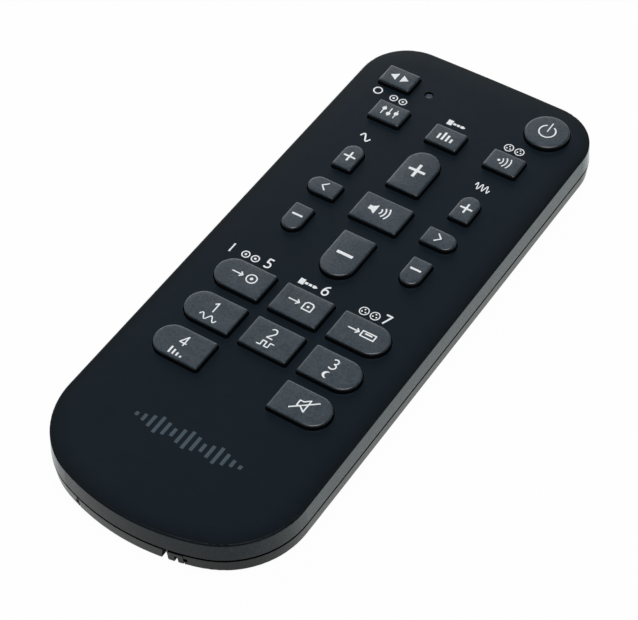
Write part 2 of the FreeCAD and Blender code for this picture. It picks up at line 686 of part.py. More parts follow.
def infrared_emitter():
    """A round lamp lying along Y: rim at the back, domed tip towards the window."""
    along = Vector(0, 1, 0)
    back = Vector(0, EMITTER_BACK_Y, EMITTER_Z)
    dome_y = EMITTER_TIP_Y - EMITTER_RADIUS
    rim = Part.makeCylinder(EMITTER_RIM_RADIUS, EMITTER_RIM, back, along)
    barrel = Part.makeCylinder(EMITTER_RADIUS, dome_y - EMITTER_BACK_Y, back, along)
    dome = Part.makeSphere(EMITTER_RADIUS, Vector(0, dome_y, EMITTER_Z))
    return rim.fuse([barrel, dome]).removeSplitter()


def emitter_lead(side):
    """A square lead, cranked up from the lamp's back on to the board."""
    x = side * EMITTER_LEAD_PITCH / 2
    x_range = (x - EMITTER_LEAD / 2, x + EMITTER_LEAD / 2)
    top = BOARD_HIGH + EMITTER_LEAD
    flat = box(x_range, (EMITTER_BACK_Y - EMITTER_LEAD_RUN, EMITTER_BACK_Y), (BOARD_HIGH, top))
    rise_y = (EMITTER_BACK_Y - EMITTER_LEAD_RISE, EMITTER_BACK_Y)
    rise = box(x_range, rise_y, (EMITTER_Z - EMITTER_LEAD_DROP, top))
    return flat.fuse(rise).removeSplitter()


def hung(place, size):
    """A part soldered flat under the board."""
    return block(place, size, BOARD_LOW - size[2])


def controller_lead(side, index):
    """One gull-wing lead: out of the chip's side, up to the board, and a foot along it."""
    x = CHIP_PLACE[0] + (index - (LEAD_COUNT - 1) / 2) * LEAD_PITCH
    start = CHIP_SIZE[1] / 2
    knee = start + LEAD_KNEE
    tip = start + LEAD_REACH
    middle = BOARD_LOW - CHIP_STANDOFF - CHIP_SIZE[2] / 2
    half = LEAD_THICKNESS / 2
    profile = [
        (start, middle - half),
        (knee, middle - half),
        (knee, BOARD_LOW - LEAD_THICKNESS),
        (tip, BOARD_LOW - LEAD_THICKNESS),
        (tip, BOARD_LOW),
        (knee - LEAD_THICKNESS, BOARD_LOW),
        (knee - LEAD_THICKNESS, middle + half),
        (start, middle + half),
    ]
    return strip_along_x([(CHIP_PLACE[1] + side * py, pz) for py, pz in profile], LEAD_WIDTH / 2, x)


def driver_transistor():
    """A three-legged transistor under the board."""
    x, y = TRANSISTOR_PLACE
    leg_x, leg_y = TRANSISTOR_LEG_OFFSET
    body_low = BOARD_LOW - TRANSISTOR_STANDOFF - TRANSISTOR_SIZE[2]
    body = block(TRANSISTOR_PLACE, TRANSISTOR_SIZE, body_low)
    legs = ((x, y + leg_y), (x - leg_x, y - leg_y), (x + leg_x, y - leg_y))
    return body.fuse([hung(leg, TRANSISTOR_LEG) for leg in legs]).removeSplitter()


# Cell and its contacts

def cell_can():
    """The cell's positive can: a cup open upwards."""
    low = TRAY_FLOOR
    centre = (0, CELL_Y)
    cup = fillet_at(post(centre, CELL_RADIUS, low, low + CAN_HEIGHT), CAN_ROUNDING, low, low)
    return cup.cut(post(centre, CELL_RADIUS - CAN_WALL, low + CAN_WALL, CELL_TOP))


def cell_cap():
    """The cell's negative cap, standing proud of the can."""
    cap = post((0, CELL_Y), CAP_RADIUS, TRAY_FLOOR + CAN_WALL, CELL_TOP)
    return fillet_at(cap, CAP_ROUNDING, CELL_TOP, CELL_TOP)


def cell_gasket():
    """The sealing ring between can and cap."""
    low = TRAY_FLOOR + CAN_WALL
    high = TRAY_FLOOR + CAN_HEIGHT - GASKET_DROP
    ring = post((0, CELL_Y), CELL_RADIUS - CAN_WALL, low, high)
    return ring.cut(post((0, CELL_Y), CAP_RADIUS, low, high))


def positive_contact():
    """A strip under the board, folded down to touch the cell's rim from behind."""
    rim_y = CELL_Y + CELL_RADIUS + CONTACT_CLEARANCE
    root_y = rim_y + POSITIVE_RUN
    profile = [
        (root_y, BOARD_LOW),
        (rim_y, BOARD_LOW),
        (rim_y, POSITIVE_LOW_Z),
        (rim_y + STRIP, POSITIVE_LOW_Z),
        (rim_y + STRIP, BOARD_LOW - STRIP),
        (root_y, BOARD_LOW - STRIP),
    ]
    return strip_along_x(profile, POSITIVE_HALF, 0.0)


def negative_contact():
    """A leaf under the board, sloping down on to the cell's cap and turned up at its tip."""
    touch = CELL_TOP + CONTACT_CLEARANCE
    tip = touch + NEGATIVE_TIP_LIFT
    lower_side = [
        (NEGATIVE_TIP_Y, tip),
        (NEGATIVE_TOUCH_Y, touch),
        (NEGATIVE_BEND_Y, BOARD_LOW - STRIP),
        (NEGATIVE_ROOT_Y, BOARD_LOW - STRIP),
    ]
    upper_side = [(py, pz + STRIP) for py, pz in reversed(lower_side)]
    return strip_along_x(lower_side + upper_side, NEGATIVE_HALF, NEGATIVE_X)


# Tray and latch

def latch_room():
    """The room beside the tray for the latch, with the tray's leaning end as one wall."""
    near_y = -HALF_LENGTH - PAST
    far_x = BAY_HALF_WIDTH + PAST
    outlines = []
    for end_x, z in ((TRAY_END_X_LOW, 0.0), (TRAY_END_X_TOP, TRAY_FACE_Z)):
        corners = [
            (end_x, near_y),
            (end_x, LATCH_ROOM_BEND_Y),
            LATCH_ROOM_ELBOW,
            LATCH_ROOM_BACK,
            (far_x, LATCH_ROOM_BACK[1]),
            (far_x, near_y),
            (end_x, near_y),
        ]
        outlines.append(Part.makePolygon([Vector(px, py, z) for px, py in corners]))
    return Part.makeLoft(outlines, True, True)


def tray_core():
    """The hollow in the tray's solid corner, on the side away from the latch."""
    core = case_plate(TRAY_FRONT_WALL + CORE_WALL, TRAY_FLOOR, SEAM_Z)
    core = core.common(bay_prism(-TRAY_FIT - CORE_WALL, TRAY_FLOOR, SEAM_Z))
    core = core.common(box((-HALF_WIDTH, 0), (-HALF_LENGTH, CELL_Y), (TRAY_FLOOR, SEAM_Z)))
    return core.cut(post((0, CELL_Y), POCKET_RADIUS + CORE_WALL, TRAY_FLOOR, SEAM_Z))


def battery_tray():
    """The sliding tray: end face flush with the casing, floor, cell pocket and side rails."""
    tray = lower_form().common(bay_prism(-TRAY_FIT, 0, TRAY_FACE_Z))
    tray = tray.cut(case_plate(TRAY_FRONT_WALL, TRAY_RIM_Z, SEAM_Z))
    tray = tray.cut(latch_room()).fuse([rail(-1, LEFT_RAIL_Y, 0), rail(1, RIGHT_RAIL_Y, 0)])
    gap = POSITIVE_HALF + POSITIVE_ROOM
    end_gap_x = (-BAY_HALF_WIDTH, -BAY_HALF_WIDTH + TRAY_END_GAP)
    end_gap_y = (-HALF_LENGTH - PAST, -HALF_LENGTH + TRAY_END_GAP_DEPTH)
    cuts = [
        tray_core(),
        box(end_gap_x, end_gap_y, (-PAST, SEAM_Z)),
        post((0, CELL_Y), POCKET_RADIUS, TRAY_FLOOR, SEAM_Z),
        box((-gap, gap), (CELL_Y, 0), (TRAY_FLOOR, SEAM_Z)),
        post(LATCH_ROOT, LATCH_KNUCKLE + LATCH_KNUCKLE_FIT, -PAST, SEAM_Z),
    ]
    return tray.cut(cuts).removeSplitter()


def latch_prong(x_range):
    """One prong of the latch's finger, rounded along its two lower edges."""
    low, high = LATCH_HEIGHTS
    near_y = -HALF_LENGTH - PAST
    prong = box(x_range, (near_y, -HALF_LENGTH + LATCH_PRONG_DEPTH), (low, high))
    edges = []
    for edge in prong.Edges:
        bounds = edge.BoundBox
        if bounds.ZMax < low + SAME_HEIGHT and bounds.YLength > SAME_HEIGHT:
            edges.append(edge)
    return prong.makeFillet(LATCH_PRONG_ROUNDING, edges)


def tray_latch():
    """The latch: knuckle at the root, arm with a tooth, and a two-pronged finger at the end."""
    root_x, root_y = LATCH_ROOT
    low, high = LATCH_HEIGHTS
    arm_x = (root_x - LATCH_ARM_HALF, root_x + LATCH_ARM_HALF)
    knuckle = post(LATCH_ROOT, LATCH_KNUCKLE, low, high)
    arm = box(arm_x, (-HALF_LENGTH + LATCH_PRONG_DEPTH - REACH, root_y), (low, high))
    prongs = [latch_prong(x_range) for x_range in LATCH_PRONGS_X]
    bridge_x = (LATCH_PRONGS_X[0][0], LATCH_PRONGS_X[1][1])
    bridge_y = (-HALF_LENGTH - PAST, -HALF_LENGTH + LATCH_BRIDGE_DEPTH)
    bridge = box(bridge_x, bridge_y, (high - LATCH_BRIDGE_HEIGHT, high))
    tooth = latch_tooth((root_x, arm_x[1] + LATCH_TOOTH), 0)
    latch = knuckle.fuse([arm, bridge, tooth] + prongs)
    return latch.common(lower_form()).removeSplitter()


def group(shapes):
    """Several solids in one node."""
    return Part.makeCompound(list(shapes))


def board_pieces(keys):
    """The circuit board and everything soldered or screwed to it."""
    chip_low = BOARD_LOW - CHIP_STANDOFF - CHIP_SIZE[2]
    leads = [controller_lead(side, index) for side in (1, -1) for index in range(LEAD_COUNT)]
    screw_places = [(side * x, y) for x, y in SCREW_PLACES for side in (1, -1)]
    resistor_places = [(x, KEY_RESISTOR_Y) for x in KEY_RESISTOR_COLUMNS]
    resistor_places += [(x, LAMP_DRIVER_Y) for x in LAMP_RESISTOR_COLUMNS]
    return {
        "circuit_board": circuit_board(),
        "contact_pads": group(pad for key in keys for pad in contact_pads(key)),
        "board_screws": group(board_screw(place) for place in screw_places),
        "indicator_light": block(INDICATOR, CHIP_LIGHT, BOARD_HIGH),
        "infrared_emitter": infrared_emitter(),
        "emitter_leads": group(emitter_lead(side) for side in (1, -1)),
        "controller_chip": block(CHIP_PLACE, CHIP_SIZE, chip_low),
        "controller_leads": group(leads),
        "ceramic_resonator": hung(RESONATOR_PLACE, RESONATOR_SIZE),
        "reservoir_capacitor": hung(RESERVOIR_PLACE, RESERVOIR_SIZE),
        "small_capacitors": group(hung(place, SMALL_CAPACITOR) for place in SMALL_CAPACITOR_PLACES),
        "resistors": group(hung(place, RESISTOR) for place in resistor_places),
        "driver_transistor": driver_transistor(),
        "positive_contact": positive_contact(),
        "negative_contact": negative_contact(),
    }


def build():
    """Every piece as name to shape."""
    keys = key_table()
    pieces = {
        "top_shell": top_shell(keys),
        "bottom_shell": bottom_shell(),
        "infrared_window": infrared_window(),
        "indicator_lens": indicator_lens(),
        "keypad_mat": keypad_mat(keys),
        "keypad_webs": group(key_web(key) for key in keys),
        "cell_can": cell_can(),
        "cell_gasket": cell_gasket(),
        "cell_cap": cell_cap(),
        "battery_tray": battery_tray(),
        "tray_latch": tray_latch(),
    }
    pieces.update(board_pieces(keys))
    for key in keys:
        pieces[key[0]] = key_solid(key)
    return pieces


os.makedirs("parts", exist_ok=True)
for name, shape in build().items():
    shape.exportStep("parts/" + name + ".step")
    print(name, shape.isValid(), len(shape.Solids), round(shape.Volume, 2))
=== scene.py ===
"""A slim hand-held infrared remote control: finishes, keys, prints, webs and a plain studio.

Lengths are in millimetres, in the frame of the solids: X across the keys, Y towards the infrared
end, Z up from the underside. Colours are linear.
"""
import math

import bpy
from mathutils import Euler, Matrix, Vector
from mathutils.geometry import delaunay_2d_cdt


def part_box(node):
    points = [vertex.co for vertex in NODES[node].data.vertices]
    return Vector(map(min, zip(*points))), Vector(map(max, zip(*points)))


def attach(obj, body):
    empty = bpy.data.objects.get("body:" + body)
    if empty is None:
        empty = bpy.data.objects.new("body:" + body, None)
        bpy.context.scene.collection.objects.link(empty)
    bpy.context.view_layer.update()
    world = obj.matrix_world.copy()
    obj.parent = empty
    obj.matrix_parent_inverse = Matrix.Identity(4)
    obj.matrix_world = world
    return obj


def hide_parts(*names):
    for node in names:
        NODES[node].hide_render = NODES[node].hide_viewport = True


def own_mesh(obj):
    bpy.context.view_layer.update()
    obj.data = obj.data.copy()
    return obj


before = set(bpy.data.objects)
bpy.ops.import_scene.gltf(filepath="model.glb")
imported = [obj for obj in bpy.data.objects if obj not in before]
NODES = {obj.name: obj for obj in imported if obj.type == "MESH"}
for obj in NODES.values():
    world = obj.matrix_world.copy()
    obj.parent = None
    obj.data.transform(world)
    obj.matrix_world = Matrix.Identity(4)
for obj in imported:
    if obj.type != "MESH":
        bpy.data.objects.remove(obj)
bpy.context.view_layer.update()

MM = 0.001

# Arcs are drawn in steps of so many degrees, unless a count is given
ARC_STEP = 9
FEWEST_ARC_STEPS = 4

# Tolerances, and the kinds of result that the triangulation can give
ROUNDING = 1e-6
SAME_POINT = 1e-4
FACE_MERGE = 1e-7
MARK_MERGE = 1e-5
TRIANGLES_IN_HULL = 0
TRIANGLES_INSIDE = 1
WHOLE_FACES = 2


def box_in_mm(name):
    """The low and high corners of a solid."""
    return [[round(value / MM, 2) for value in corner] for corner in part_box(name)]


# The casing's outline and heights, from the solids
SHELL_LOW, SHELL_HIGH = box_in_mm("top_shell")
WEBS_LOW, WEBS_HIGH = box_in_mm("keypad_webs")
SEAM_FLARE = 0.3
HALF_WIDTH = round(SHELL_HIGH[0] - SEAM_FLARE, 1)
HALF_LENGTH = round(-SHELL_LOW[1] - SEAM_FLARE, 1)
FAR_CORNER_RADIUS = 11.0
NEAR_CORNER_RADIUS = 17.5
NEAR_END_RADIUS = 46.0
SEAM_Z = SHELL_LOW[2]
CASE_TOP = SHELL_HIGH[2]
WEB_LOW = WEBS_LOW[2]
FLANGE_LOW = WEBS_HIGH[2]
FLANGE_THICKNESS = 0.6
FLANGE_HIGH = FLANGE_LOW + FLANGE_THICKNESS
PILL_LOW = box_in_mm("key_volume")[0][2]

# Keys
KEY_CORNER = 0.45
KEY_EDGE = 0.38
EDGE_STEPS = 5
CORNER_STEPS = 8
ROUND_END_STEPS = 22
SMALLEST_REACH = 0.004
PILLOW_DROP = 0.045
PILLOW_REACH = 2.2
CROWN_HEIGHT = 0.17
CROWN_ROOM = 0.003
FACE_PITCH = 0.55
FACE_MARGIN = 0.25
WALL_FILLET = 0.08
FLANGE_WIDTH = 0.45
FLANGE_BEVEL = 0.06
PILL_RADIUS = 1.5
PILL_STEPS = 40
CROWNED = ("key_volume_up", "key_volume_down")
ROUND_ENDS = {
    "far": ("key_volume_up", "key_bass_up", "key_treble_up"),
    "near": ("key_volume_down", "key_bass_down", "key_treble_down"),
    "left": ("key_balance_left", "key_coaxial_input", "key_1", "key_4"),
    "right": ("key_balance_right", "key_usb_input", "key_3", "key_mute"),
    "round": ("key_power",),
}
CORNERS_OF = {"far": (0, 1), "left": (1, 2), "near": (2, 3), "right": (3, 0), "round": (0, 1, 2, 3)}

# Webs
WINDOW_WIDTH = 0.9
WEB_THICKNESS = 0.25
WEB_STEPS = 6

# The indicator's lens: its foot, its stem, and the rings of its dished face as radius and drop
LENS_FOOT_TOP = 6.75
LENS_FOOT_BEVEL = 0.05
LENS_STEM = 0.86
LENS_RIM = 7.66
LENS_ROUNDING = 0.16
LENS_DISH = ((0.55, 0.015), (0.28, 0.035))
LENS_STEPS = 48

# Edges that bend by more than these angles in degrees are shown sharp
SOFT_ANGLE = 50
LENS_ANGLE = 35
PRINT_ANGLE = 30

# Prints
INK = 0.012
INK_PITCH = 0.4
JOINT_STEPS = 12
WAVE_STEPS = 14
FINE_PEN = 0.27
PEN = 0.30
SPEAKER_OUTLINE = ((-0.75, -0.42), (-0.2, -0.42), (0.55, -1.0), (0.55, 1.0), (-0.2, 0.42), (-0.75, 0.42))
BOLD_PEN = 0.38
KEY_DIGIT = 2.6
CASE_DIGIT = 2.45
EMBLEM_FROM_END = 20.3
EMBLEM_PITCH = 1.68
EMBLEM_BAR = 0.74
EMBLEM_BARS = (0.9, 1.7, 2.9, 4.2, 3.1, 2.0, 3.5, 4.5, 3.5, 2.0, 3.1, 4.2, 2.9, 1.7, 0.9)

# Spans of a value over which a finish changes: of noise, of a face's slope, or of open air round it
NOISE_SPAN = (0.3, 0.7)
WHOLE_SPAN = (0.0, 1.0)
UPRIGHT_SPAN = (0.20, 0.60)
RIM_SPAN = (0.90, 0.995)
KEY_WALL_SPAN = (0.55, 0.90)
WORN_SPAN = (0.80, 0.995)
OPEN_SPAN = (0.50, 0.85)
BAY_WALL_SPAN = (0.45, 0.60)
NEAR_END_SPAN = (-1.0, -0.2)

# Finishes
BRUSHED = (1.0, 0.06, 1.0)
BROAD_NOISE = 70.0
CLOUD_NOISE = 420.0
FINE_GLOSS = 0.02
WEAR_RADIUS = 0.3
BEVEL_SAMPLES = 4
GAP_SAMPLES = 8
LEAST_WEAR = 0.35
WORN_GAIN = 2.2
WORN_LIFT = 0.02
KEY_POLISH = -0.32
# Painted shade in the seam, the gaps and on the battery bay's side walls: a near-black colour, rougher and
# without coat
CREVICE_REACH = 0.6
CREVICE_ROUGHNESS = 0.80
GAP_SHADE_COLOR = (0.0008, 0.0008, 0.0008)
RIM_ROUGHNESS = 0.60
SIDE_GRAIN = 0.45
SIDE_RELIEF = 0.020
SIDE_CONTRAST = 0.7
SIDE_VARIATION = 0.3
FLAT_COAT_SHARE = 0.45
# Less coat on faces turned to the near end paints shade into their reflection
NEAR_END_COAT_SHARE = 0.10
COAT_TINT = (0.86, 0.99, 1.0)
COAT_ROUGHNESS = 0.26
COAT_IOR = 1.24
BAY_REACH = 14.5
SEAM_SHADE = (0.26, 0.32)
# Towards the outline the top is bumped down over a roll's width and darkened with painted shade
ROLL_WIDTH = 5.0
ROLL_DROP = 0.14
ROLL_SHADE = 0.6
ROLL_SHADE_COLOR = (0.0006, 0.0010, 0.0012)

# Plain finishes of the smaller solids: colour, roughness, metallic, specular level
BLACK_MOULDING = (0.012, 0.012, 0.013)
TIN = (0.60, 0.60, 0.58)
SPRING_STRIP = (0.60, 0.58, 0.54)
NICKEL = (0.66, 0.66, 0.65)
SILICONE = (0.020, 0.022, 0.024)
SOLID_FINISHES = {
    "keypad_mat": (SILICONE, 0.6, 0.0, 0.3),
    "circuit_board": ((0.012, 0.075, 0.030), 0.35, 0.0, 0.5),
    "contact_pads": ((0.010, 0.010, 0.011), 0.65, 0.0, 0.3),
    "board_screws": ((0.55, 0.55, 0.56), 0.32, 1.0, 0.5),
    "indicator_light": ((0.80, 0.79, 0.72), 0.4, 0.0, 0.5),
    "infrared_window": ((0.006, 0.003, 0.005), 0.08, 0.0, 0.5),
    "infrared_emitter": ((0.06, 0.07, 0.16), 0.08, 0.0, 0.5),
    "emitter_leads": (TIN, 0.30, 1.0, 0.5),
    "controller_chip": (BLACK_MOULDING, 0.55, 0.0, 0.4),
    "controller_leads": (TIN, 0.30, 1.0, 0.5),
    "ceramic_resonator": ((0.50, 0.20, 0.02), 0.35, 0.0, 0.5),
    "reservoir_capacitor": ((0.60, 0.38, 0.04), 0.45, 0.0, 0.5),
    "small_capacitors": ((0.36, 0.24, 0.14), 0.5, 0.0, 0.5),
    "resistors": (BLACK_MOULDING, 0.3, 0.0, 0.5),
    "driver_transistor": (BLACK_MOULDING, 0.5, 0.0, 0.4),
    "positive_contact": (SPRING_STRIP, 0.28, 1.0, 0.5),
    "negative_contact": (SPRING_STRIP, 0.28, 1.0, 0.5),
    "cell_can": (NICKEL, 0.24, 1.0, 0.5),
    "cell_cap": (NICKEL, 0.26, 1.0, 0.5),
    "cell_gasket": ((0.16, 0.16, 0.17), 0.5, 0.0, 0.4),
}

# Studio: each patch of sky is a direction, a strength, and the angles in degrees from its middle
# between which it falls off
SKY_BASE = 0.04
SKY_PATCHES = (
    ((0.14, -0.12, 1.0), 5.36, (4, 28)),
    ((-1.0, 0.2, 0.35), 0.6, (8, 46)),
    ((-0.56, 0.82, 0.06), 4.0, (6, 36)),
)
HORIZON_SPAN = (0.10, 0.26)
FLOOR_GLOW = 0.96
FLOOR_COLOR = (0.96, 0.96, 0.96)
FLOOR_METRES = 8.0
FLOOR_GAP = 0.1
WHITE = (1.0, 1.0, 1.0)

# Camera: where it stands, in metres, and how it is turned about the vertical, tilted up from
# straight down and rolled, in degrees
CAMERA_PLACE = (0.148941, -0.219879, 0.307814)
CAMERA_TURN = 34.4877
CAMERA_TILT = 40.6616
CAMERA_ROLL = -1.678
CAMERA_LENS = 114.09
CAMERA_SENSOR = 36.0
CAMERA_NEAREST = 0.01


# Outlines in plan

def arc(x, y, rx, ry, start, end, count=None):
    """Points along an arc of an ellipse, angles in degrees."""
    if count is None:
        count = max(FEWEST_ARC_STEPS, int(abs(end - start) / ARC_STEP))
    points = []
    for step in range(count + 1):
        angle = math.radians(start + (end - start) * step / count)
        points.append((x + rx * math.cos(angle), y + ry * math.sin(angle)))
    return points


def circle(x, y, radius, count=None):
    """A closed circle."""
    return arc(x, y, radius, radius, 0, 360, count)[:-1]


def densify(loop, longest):
    """A closed loop with no edge longer than a length."""
    points = []
    for a, b in zip(loop, loop[1:] + loop[:1]):
        count = max(1, math.ceil(math.dist(a, b) / longest - ROUNDING))
        for i in range(count):
            points.append((a[0] + (b[0] - a[0]) * i / count, a[1] + (b[1] - a[1]) * i / count))
    return points


def inside(path, point):
    """Whether a point lies inside a closed path."""
    odd = False
    x, y = point
    for (ax, ay), (bx, by) in zip(path, path[1:] + path[:1]):
        if (ay > y) != (by > y) and x < ax + (y - ay) * (bx - ax) / (by - ay):
            odd = not odd
    return odd


class Key:
    """A key's outline and the height of its top, from the solid's box."""

    def __init__(self, name):
        low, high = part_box(name)
        self.name = name
        self.x = (low.x + high.x) / 2 / MM
        self.y = (low.y + high.y) / 2 / MM
        self.half_x = (high.x - low.x) / 2 / MM - FLANGE_WIDTH
        self.half_y = (high.y - low.y) / 2 / MM - FLANGE_WIDTH
        self.top = high.z / MM
        if name in CROWNED:
            self.top -= INK + CROWN_ROOM
        self.radii = [KEY_CORNER] * 4
        for kind, names in ROUND_ENDS.items():
            if name in names:
                for corner in CORNERS_OF[kind]:
                    self.radii[corner] = min(self.half_x, self.half_y)

    def outline(self, grow):
        """The outline, grown all round, with the same number of points for any growth."""
        loop = []
        for corner, radius in enumerate(self.radii):
            sign_x = 1 if corner in (0, 3) else -1
            sign_y = 1 if corner < 2 else -1
            x = self.x + sign_x * (self.half_x - radius)
            y = self.y + sign_y * (self.half_y - radius)
            reach = max(radius + grow, SMALLEST_REACH)
            count = CORNER_STEPS if radius == KEY_CORNER else ROUND_END_STEPS
            loop += arc(x, y, reach, reach, 90 * corner, 90 * corner + 90, count)
        return [point for i, point in enumerate(loop) if math.dist(point, loop[i - 1]) > SAME_POINT]

    def depth(self, x, y):
        """How far a point lies inside the outline."""
        dx = x - self.x
        dy = y - self.y
        corner = (0 if dx >= 0 else 1) if dy >= 0 else (3 if dx >= 0 else 2)
        radius = self.radii[corner]
        qx = abs(dx) - (self.half_x - radius)
        qy = abs(dy) - (self.half_y - radius)
        return radius - math.hypot(max(qx, 0), max(qy, 0)) - min(max(qx, qy), 0)

    def height(self, x, y):
        """The top face: softly pillowed, or crowned across X, and rounded off at its edge."""
        depth = self.depth(x, y)
        z = self.top
        if self.name in CROWNED:
            radius = (self.half_x ** 2 + CROWN_HEIGHT ** 2) / (2 * CROWN_HEIGHT)
            z -= radius - math.sqrt(radius ** 2 - (x - self.x) ** 2)
        else:
            z -= PILLOW_DROP * (1 - min(1, max(0, depth) / PILLOW_REACH)) ** 2
        if depth < KEY_EDGE:
            rise = KEY_EDGE - max(depth, 0)
            z -= KEY_EDGE - math.sqrt(max(KEY_EDGE ** 2 - rise ** 2, 0))
        return z

    def face_points(self):
        """Points spread over the top face, within its rounded edge."""
        points = []
        for i in range(int(2 * self.half_x / FACE_PITCH) + 1):
            for j in range(int(2 * self.half_y / FACE_PITCH) + 1):
                x = self.x - self.half_x + (i + 0.5 * (j % 2)) * FACE_PITCH
                y = self.y - self.half_y + j * FACE_PITCH
                if self.depth(x, y) > KEY_EDGE + FACE_MARGIN:
                    points.append((x, y))
        return points


KEYS = {name: Key(name) for name in sorted(NODES) if name.startswith("key_")}


# Mesh building

class Build:
    """Gathers vertices and faces in millimetres and makes one mesh object of them."""

    def __init__(self):
        self.points = []
        self.faces = []

    def point(self, x, y, z):
        """Adds a point and gives its index."""
        self.points.append((x, y, z))
        return len(self.points) - 1

    def ring(self, loop, heights):
        """Adds a closed loop at one height, or at a height for each point."""
        if not hasattr(heights, "__len__"):
            heights = [heights] * len(loop)
        return [self.point(x, y, z) for (x, y), z in zip(loop, heights)]

    def join(self, upper, lower):
        """Quads between two rings of the same count; they face out where the first is the upper one."""
        count = len(upper)
        for i in range(count):
            j = (i + 1) % count
            self.faces.append((upper[i], lower[i], lower[j], upper[j]))

    def stack(self, rings):
        """Joins each ring to the next one below it."""
        for upper, lower in zip(rings, rings[1:]):
            self.join(upper, lower)

    def signed_area(self, corners):
        """Twice a face's area in plan: positive where it faces up."""
        return sum(
            self.points[a][0] * self.points[b][1] - self.points[b][0] * self.points[a][1]
            for a, b in zip(corners, corners[1:] + corners[:1])
        )

    def fill(self, outer, holes=(), inner=(), height=None, up=True):
        """Fills between rings that are already there, with loose points inside for curved faces."""
        rings = [outer, *holes]
        known = [index for ring in rings for index in ring]
        coords = [Vector(self.points[index][:2]) for index in known]
        edges = []
        start = 0
        for ring in rings:
            edges += [(start + i, start + (i + 1) % len(ring)) for i in range(len(ring))]
            start += len(ring)
        coords += [Vector(p) for p in inner]
        kind = WHOLE_FACES if holes else TRIANGLES_INSIDE
        done = delaunay_2d_cdt(coords, edges, [], kind, FACE_MERGE)
        verts, _, faces, originals = done[:4]
        hole_paths = [[self.points[i][:2] for i in ring] for ring in holes]
        index_of = {}
        for face in faces:
            middle = sum((verts[v] for v in face), Vector((0, 0))) / len(face)
            if any(inside(path, middle) for path in hole_paths):
                continue
            for v in face:
                if v in index_of:
                    continue
                source = [s for s in originals[v] if s < len(known)]
                x, y = verts[v]
                index_of[v] = known[source[0]] if source else self.point(x, y, height(x, y))
            corners = [index_of[v] for v in face]
            if (self.signed_area(corners) > 0) != up:
                corners.reverse()
            self.faces.append(tuple(corners))

    def make(self, name, material, smooth_angle):
        """The finished object, at the origin, in metres."""
        mesh = bpy.data.meshes.new(name)
        mesh.from_pydata([[c * MM for c in p] for p in self.points], [], self.faces)
        mesh.validate()
        mesh.materials.append(material)
        item = bpy.data.objects.new(name, mesh)
        bpy.context.scene.collection.objects.link(item)
        mesh.shade_smooth()
        mesh.set_sharp_from_angle(angle=math.radians(smooth_angle))
        return item


# Shader building

def node(tree, kind, inputs=None, **settings):
    """A shader node with its settings and input values."""
    made = tree.nodes.new(kind)
    for name, value in settings.items():
        setattr(made, name, value)
    for name, value in (inputs or {}).items():
        made.inputs[name].default_value = value
    return made


def plug(tree, value, socket):
    """Links a socket, or sets a number or a colour."""
    if isinstance(value, bpy.types.NodeSocket):
        tree.links.new(value, socket)
    elif isinstance(value, tuple):
        socket.default_value = (*value, 1.0)
    else:
        socket.default_value = value


def coordinates(tree, kind):
    """An output of the tree's one Texture Coordinate node."""
    made = tree.nodes.get("Coordinates") or node(tree, "ShaderNodeTexCoord", name="Coordinates")
    return made.outputs[kind]


def parts(tree, vector):
    """The X, Y and Z of a vector."""
    made = node(tree, "ShaderNodeSeparateXYZ")
    tree.links.new(vector, made.inputs[0])
    return made.outputs


def facing(tree):
    """The X, Y and Z of a face's normal."""
    return parts(tree, node(tree, "ShaderNodeNewGeometry").outputs["Normal"])


def combine(tree, operation, first, second=0.0):
    """One step of arithmetic on sockets or numbers."""
    made = node(tree, "ShaderNodeMath", operation=operation)
    plug(tree, first, made.inputs[0])
    plug(tree, second, made.inputs[1])
    return made.outputs[0]


def product(tree, first, *others):
    """Sockets or numbers multiplied."""
    for other in others:
        first = combine(tree, "MULTIPLY", first, other)
    return first


def total(tree, first, *others):
    """Sockets or numbers added."""
    for other in others:
        first = combine(tree, "ADD", first, other)
    return first


def absolute(tree, value):
    """A value without its sign."""
    return combine(tree, "ABSOLUTE", value)


def spread(tree, source, low, high, span=NOISE_SPAN, kind="LINEAR"):
    """Maps a span of a value onto a range."""
    ends = {"From Min": span[0], "From Max": span[1], "To Min": low, "To Max": high}
    made = node(tree, "ShaderNodeMapRange", ends, interpolation_type=kind)
    tree.links.new(source, made.inputs["Value"])
    return made.outputs["Result"]


def above(tree, source, span):
    """0 below a span of a value, rising to 1 above it."""
    return spread(tree, source, 0.0, 1.0, span)


def below(tree, source, span):
    """1 below a span of a value, falling to 0 above it."""
    return spread(tree, source, 1.0, 0.0, span)


def noise(tree, scale, detail=2.0, roughness=0.5, stretch=None):
    """Noise in the model's own space, by cells per metre, drawn out along an axis if asked."""
    made = node(tree, "ShaderNodeTexNoise", {"Scale": scale, "Detail": detail, "Roughness": roughness})
    source = coordinates(tree, "Object")
    if stretch:
        drawn = node(tree, "ShaderNodeMapping", {"Scale": stretch})
        tree.links.new(source, drawn.inputs["Vector"])
        source = drawn.outputs["Vector"]
    tree.links.new(source, made.inputs["Vector"])
    return made.outputs["Fac"]


def blend_colours(tree, factor, first, second, kind="MIX"):
    """Mixes two colours by a socket or a number."""
    made = node(tree, "ShaderNodeMix", data_type="RGBA", blend_type=kind)
    for index, value in ((0, factor), (6, first), (7, second)):
        plug(tree, value, made.inputs[index])
    return made.outputs[2]


def scaled(values, factor):
    """A colour or a span, multiplied."""
    return tuple(factor * value for value in values)


def relief(tree, height, drop, base=None):
    """A normal raised by a height, on top of another normal if given."""
    made = node(tree, "ShaderNodeBump", {"Strength": 1.0, "Distance": drop * MM})
    tree.links.new(height, made.inputs["Height"])
    if base:
        tree.links.new(base, made.inputs["Normal"])
    return made.outputs["Normal"]


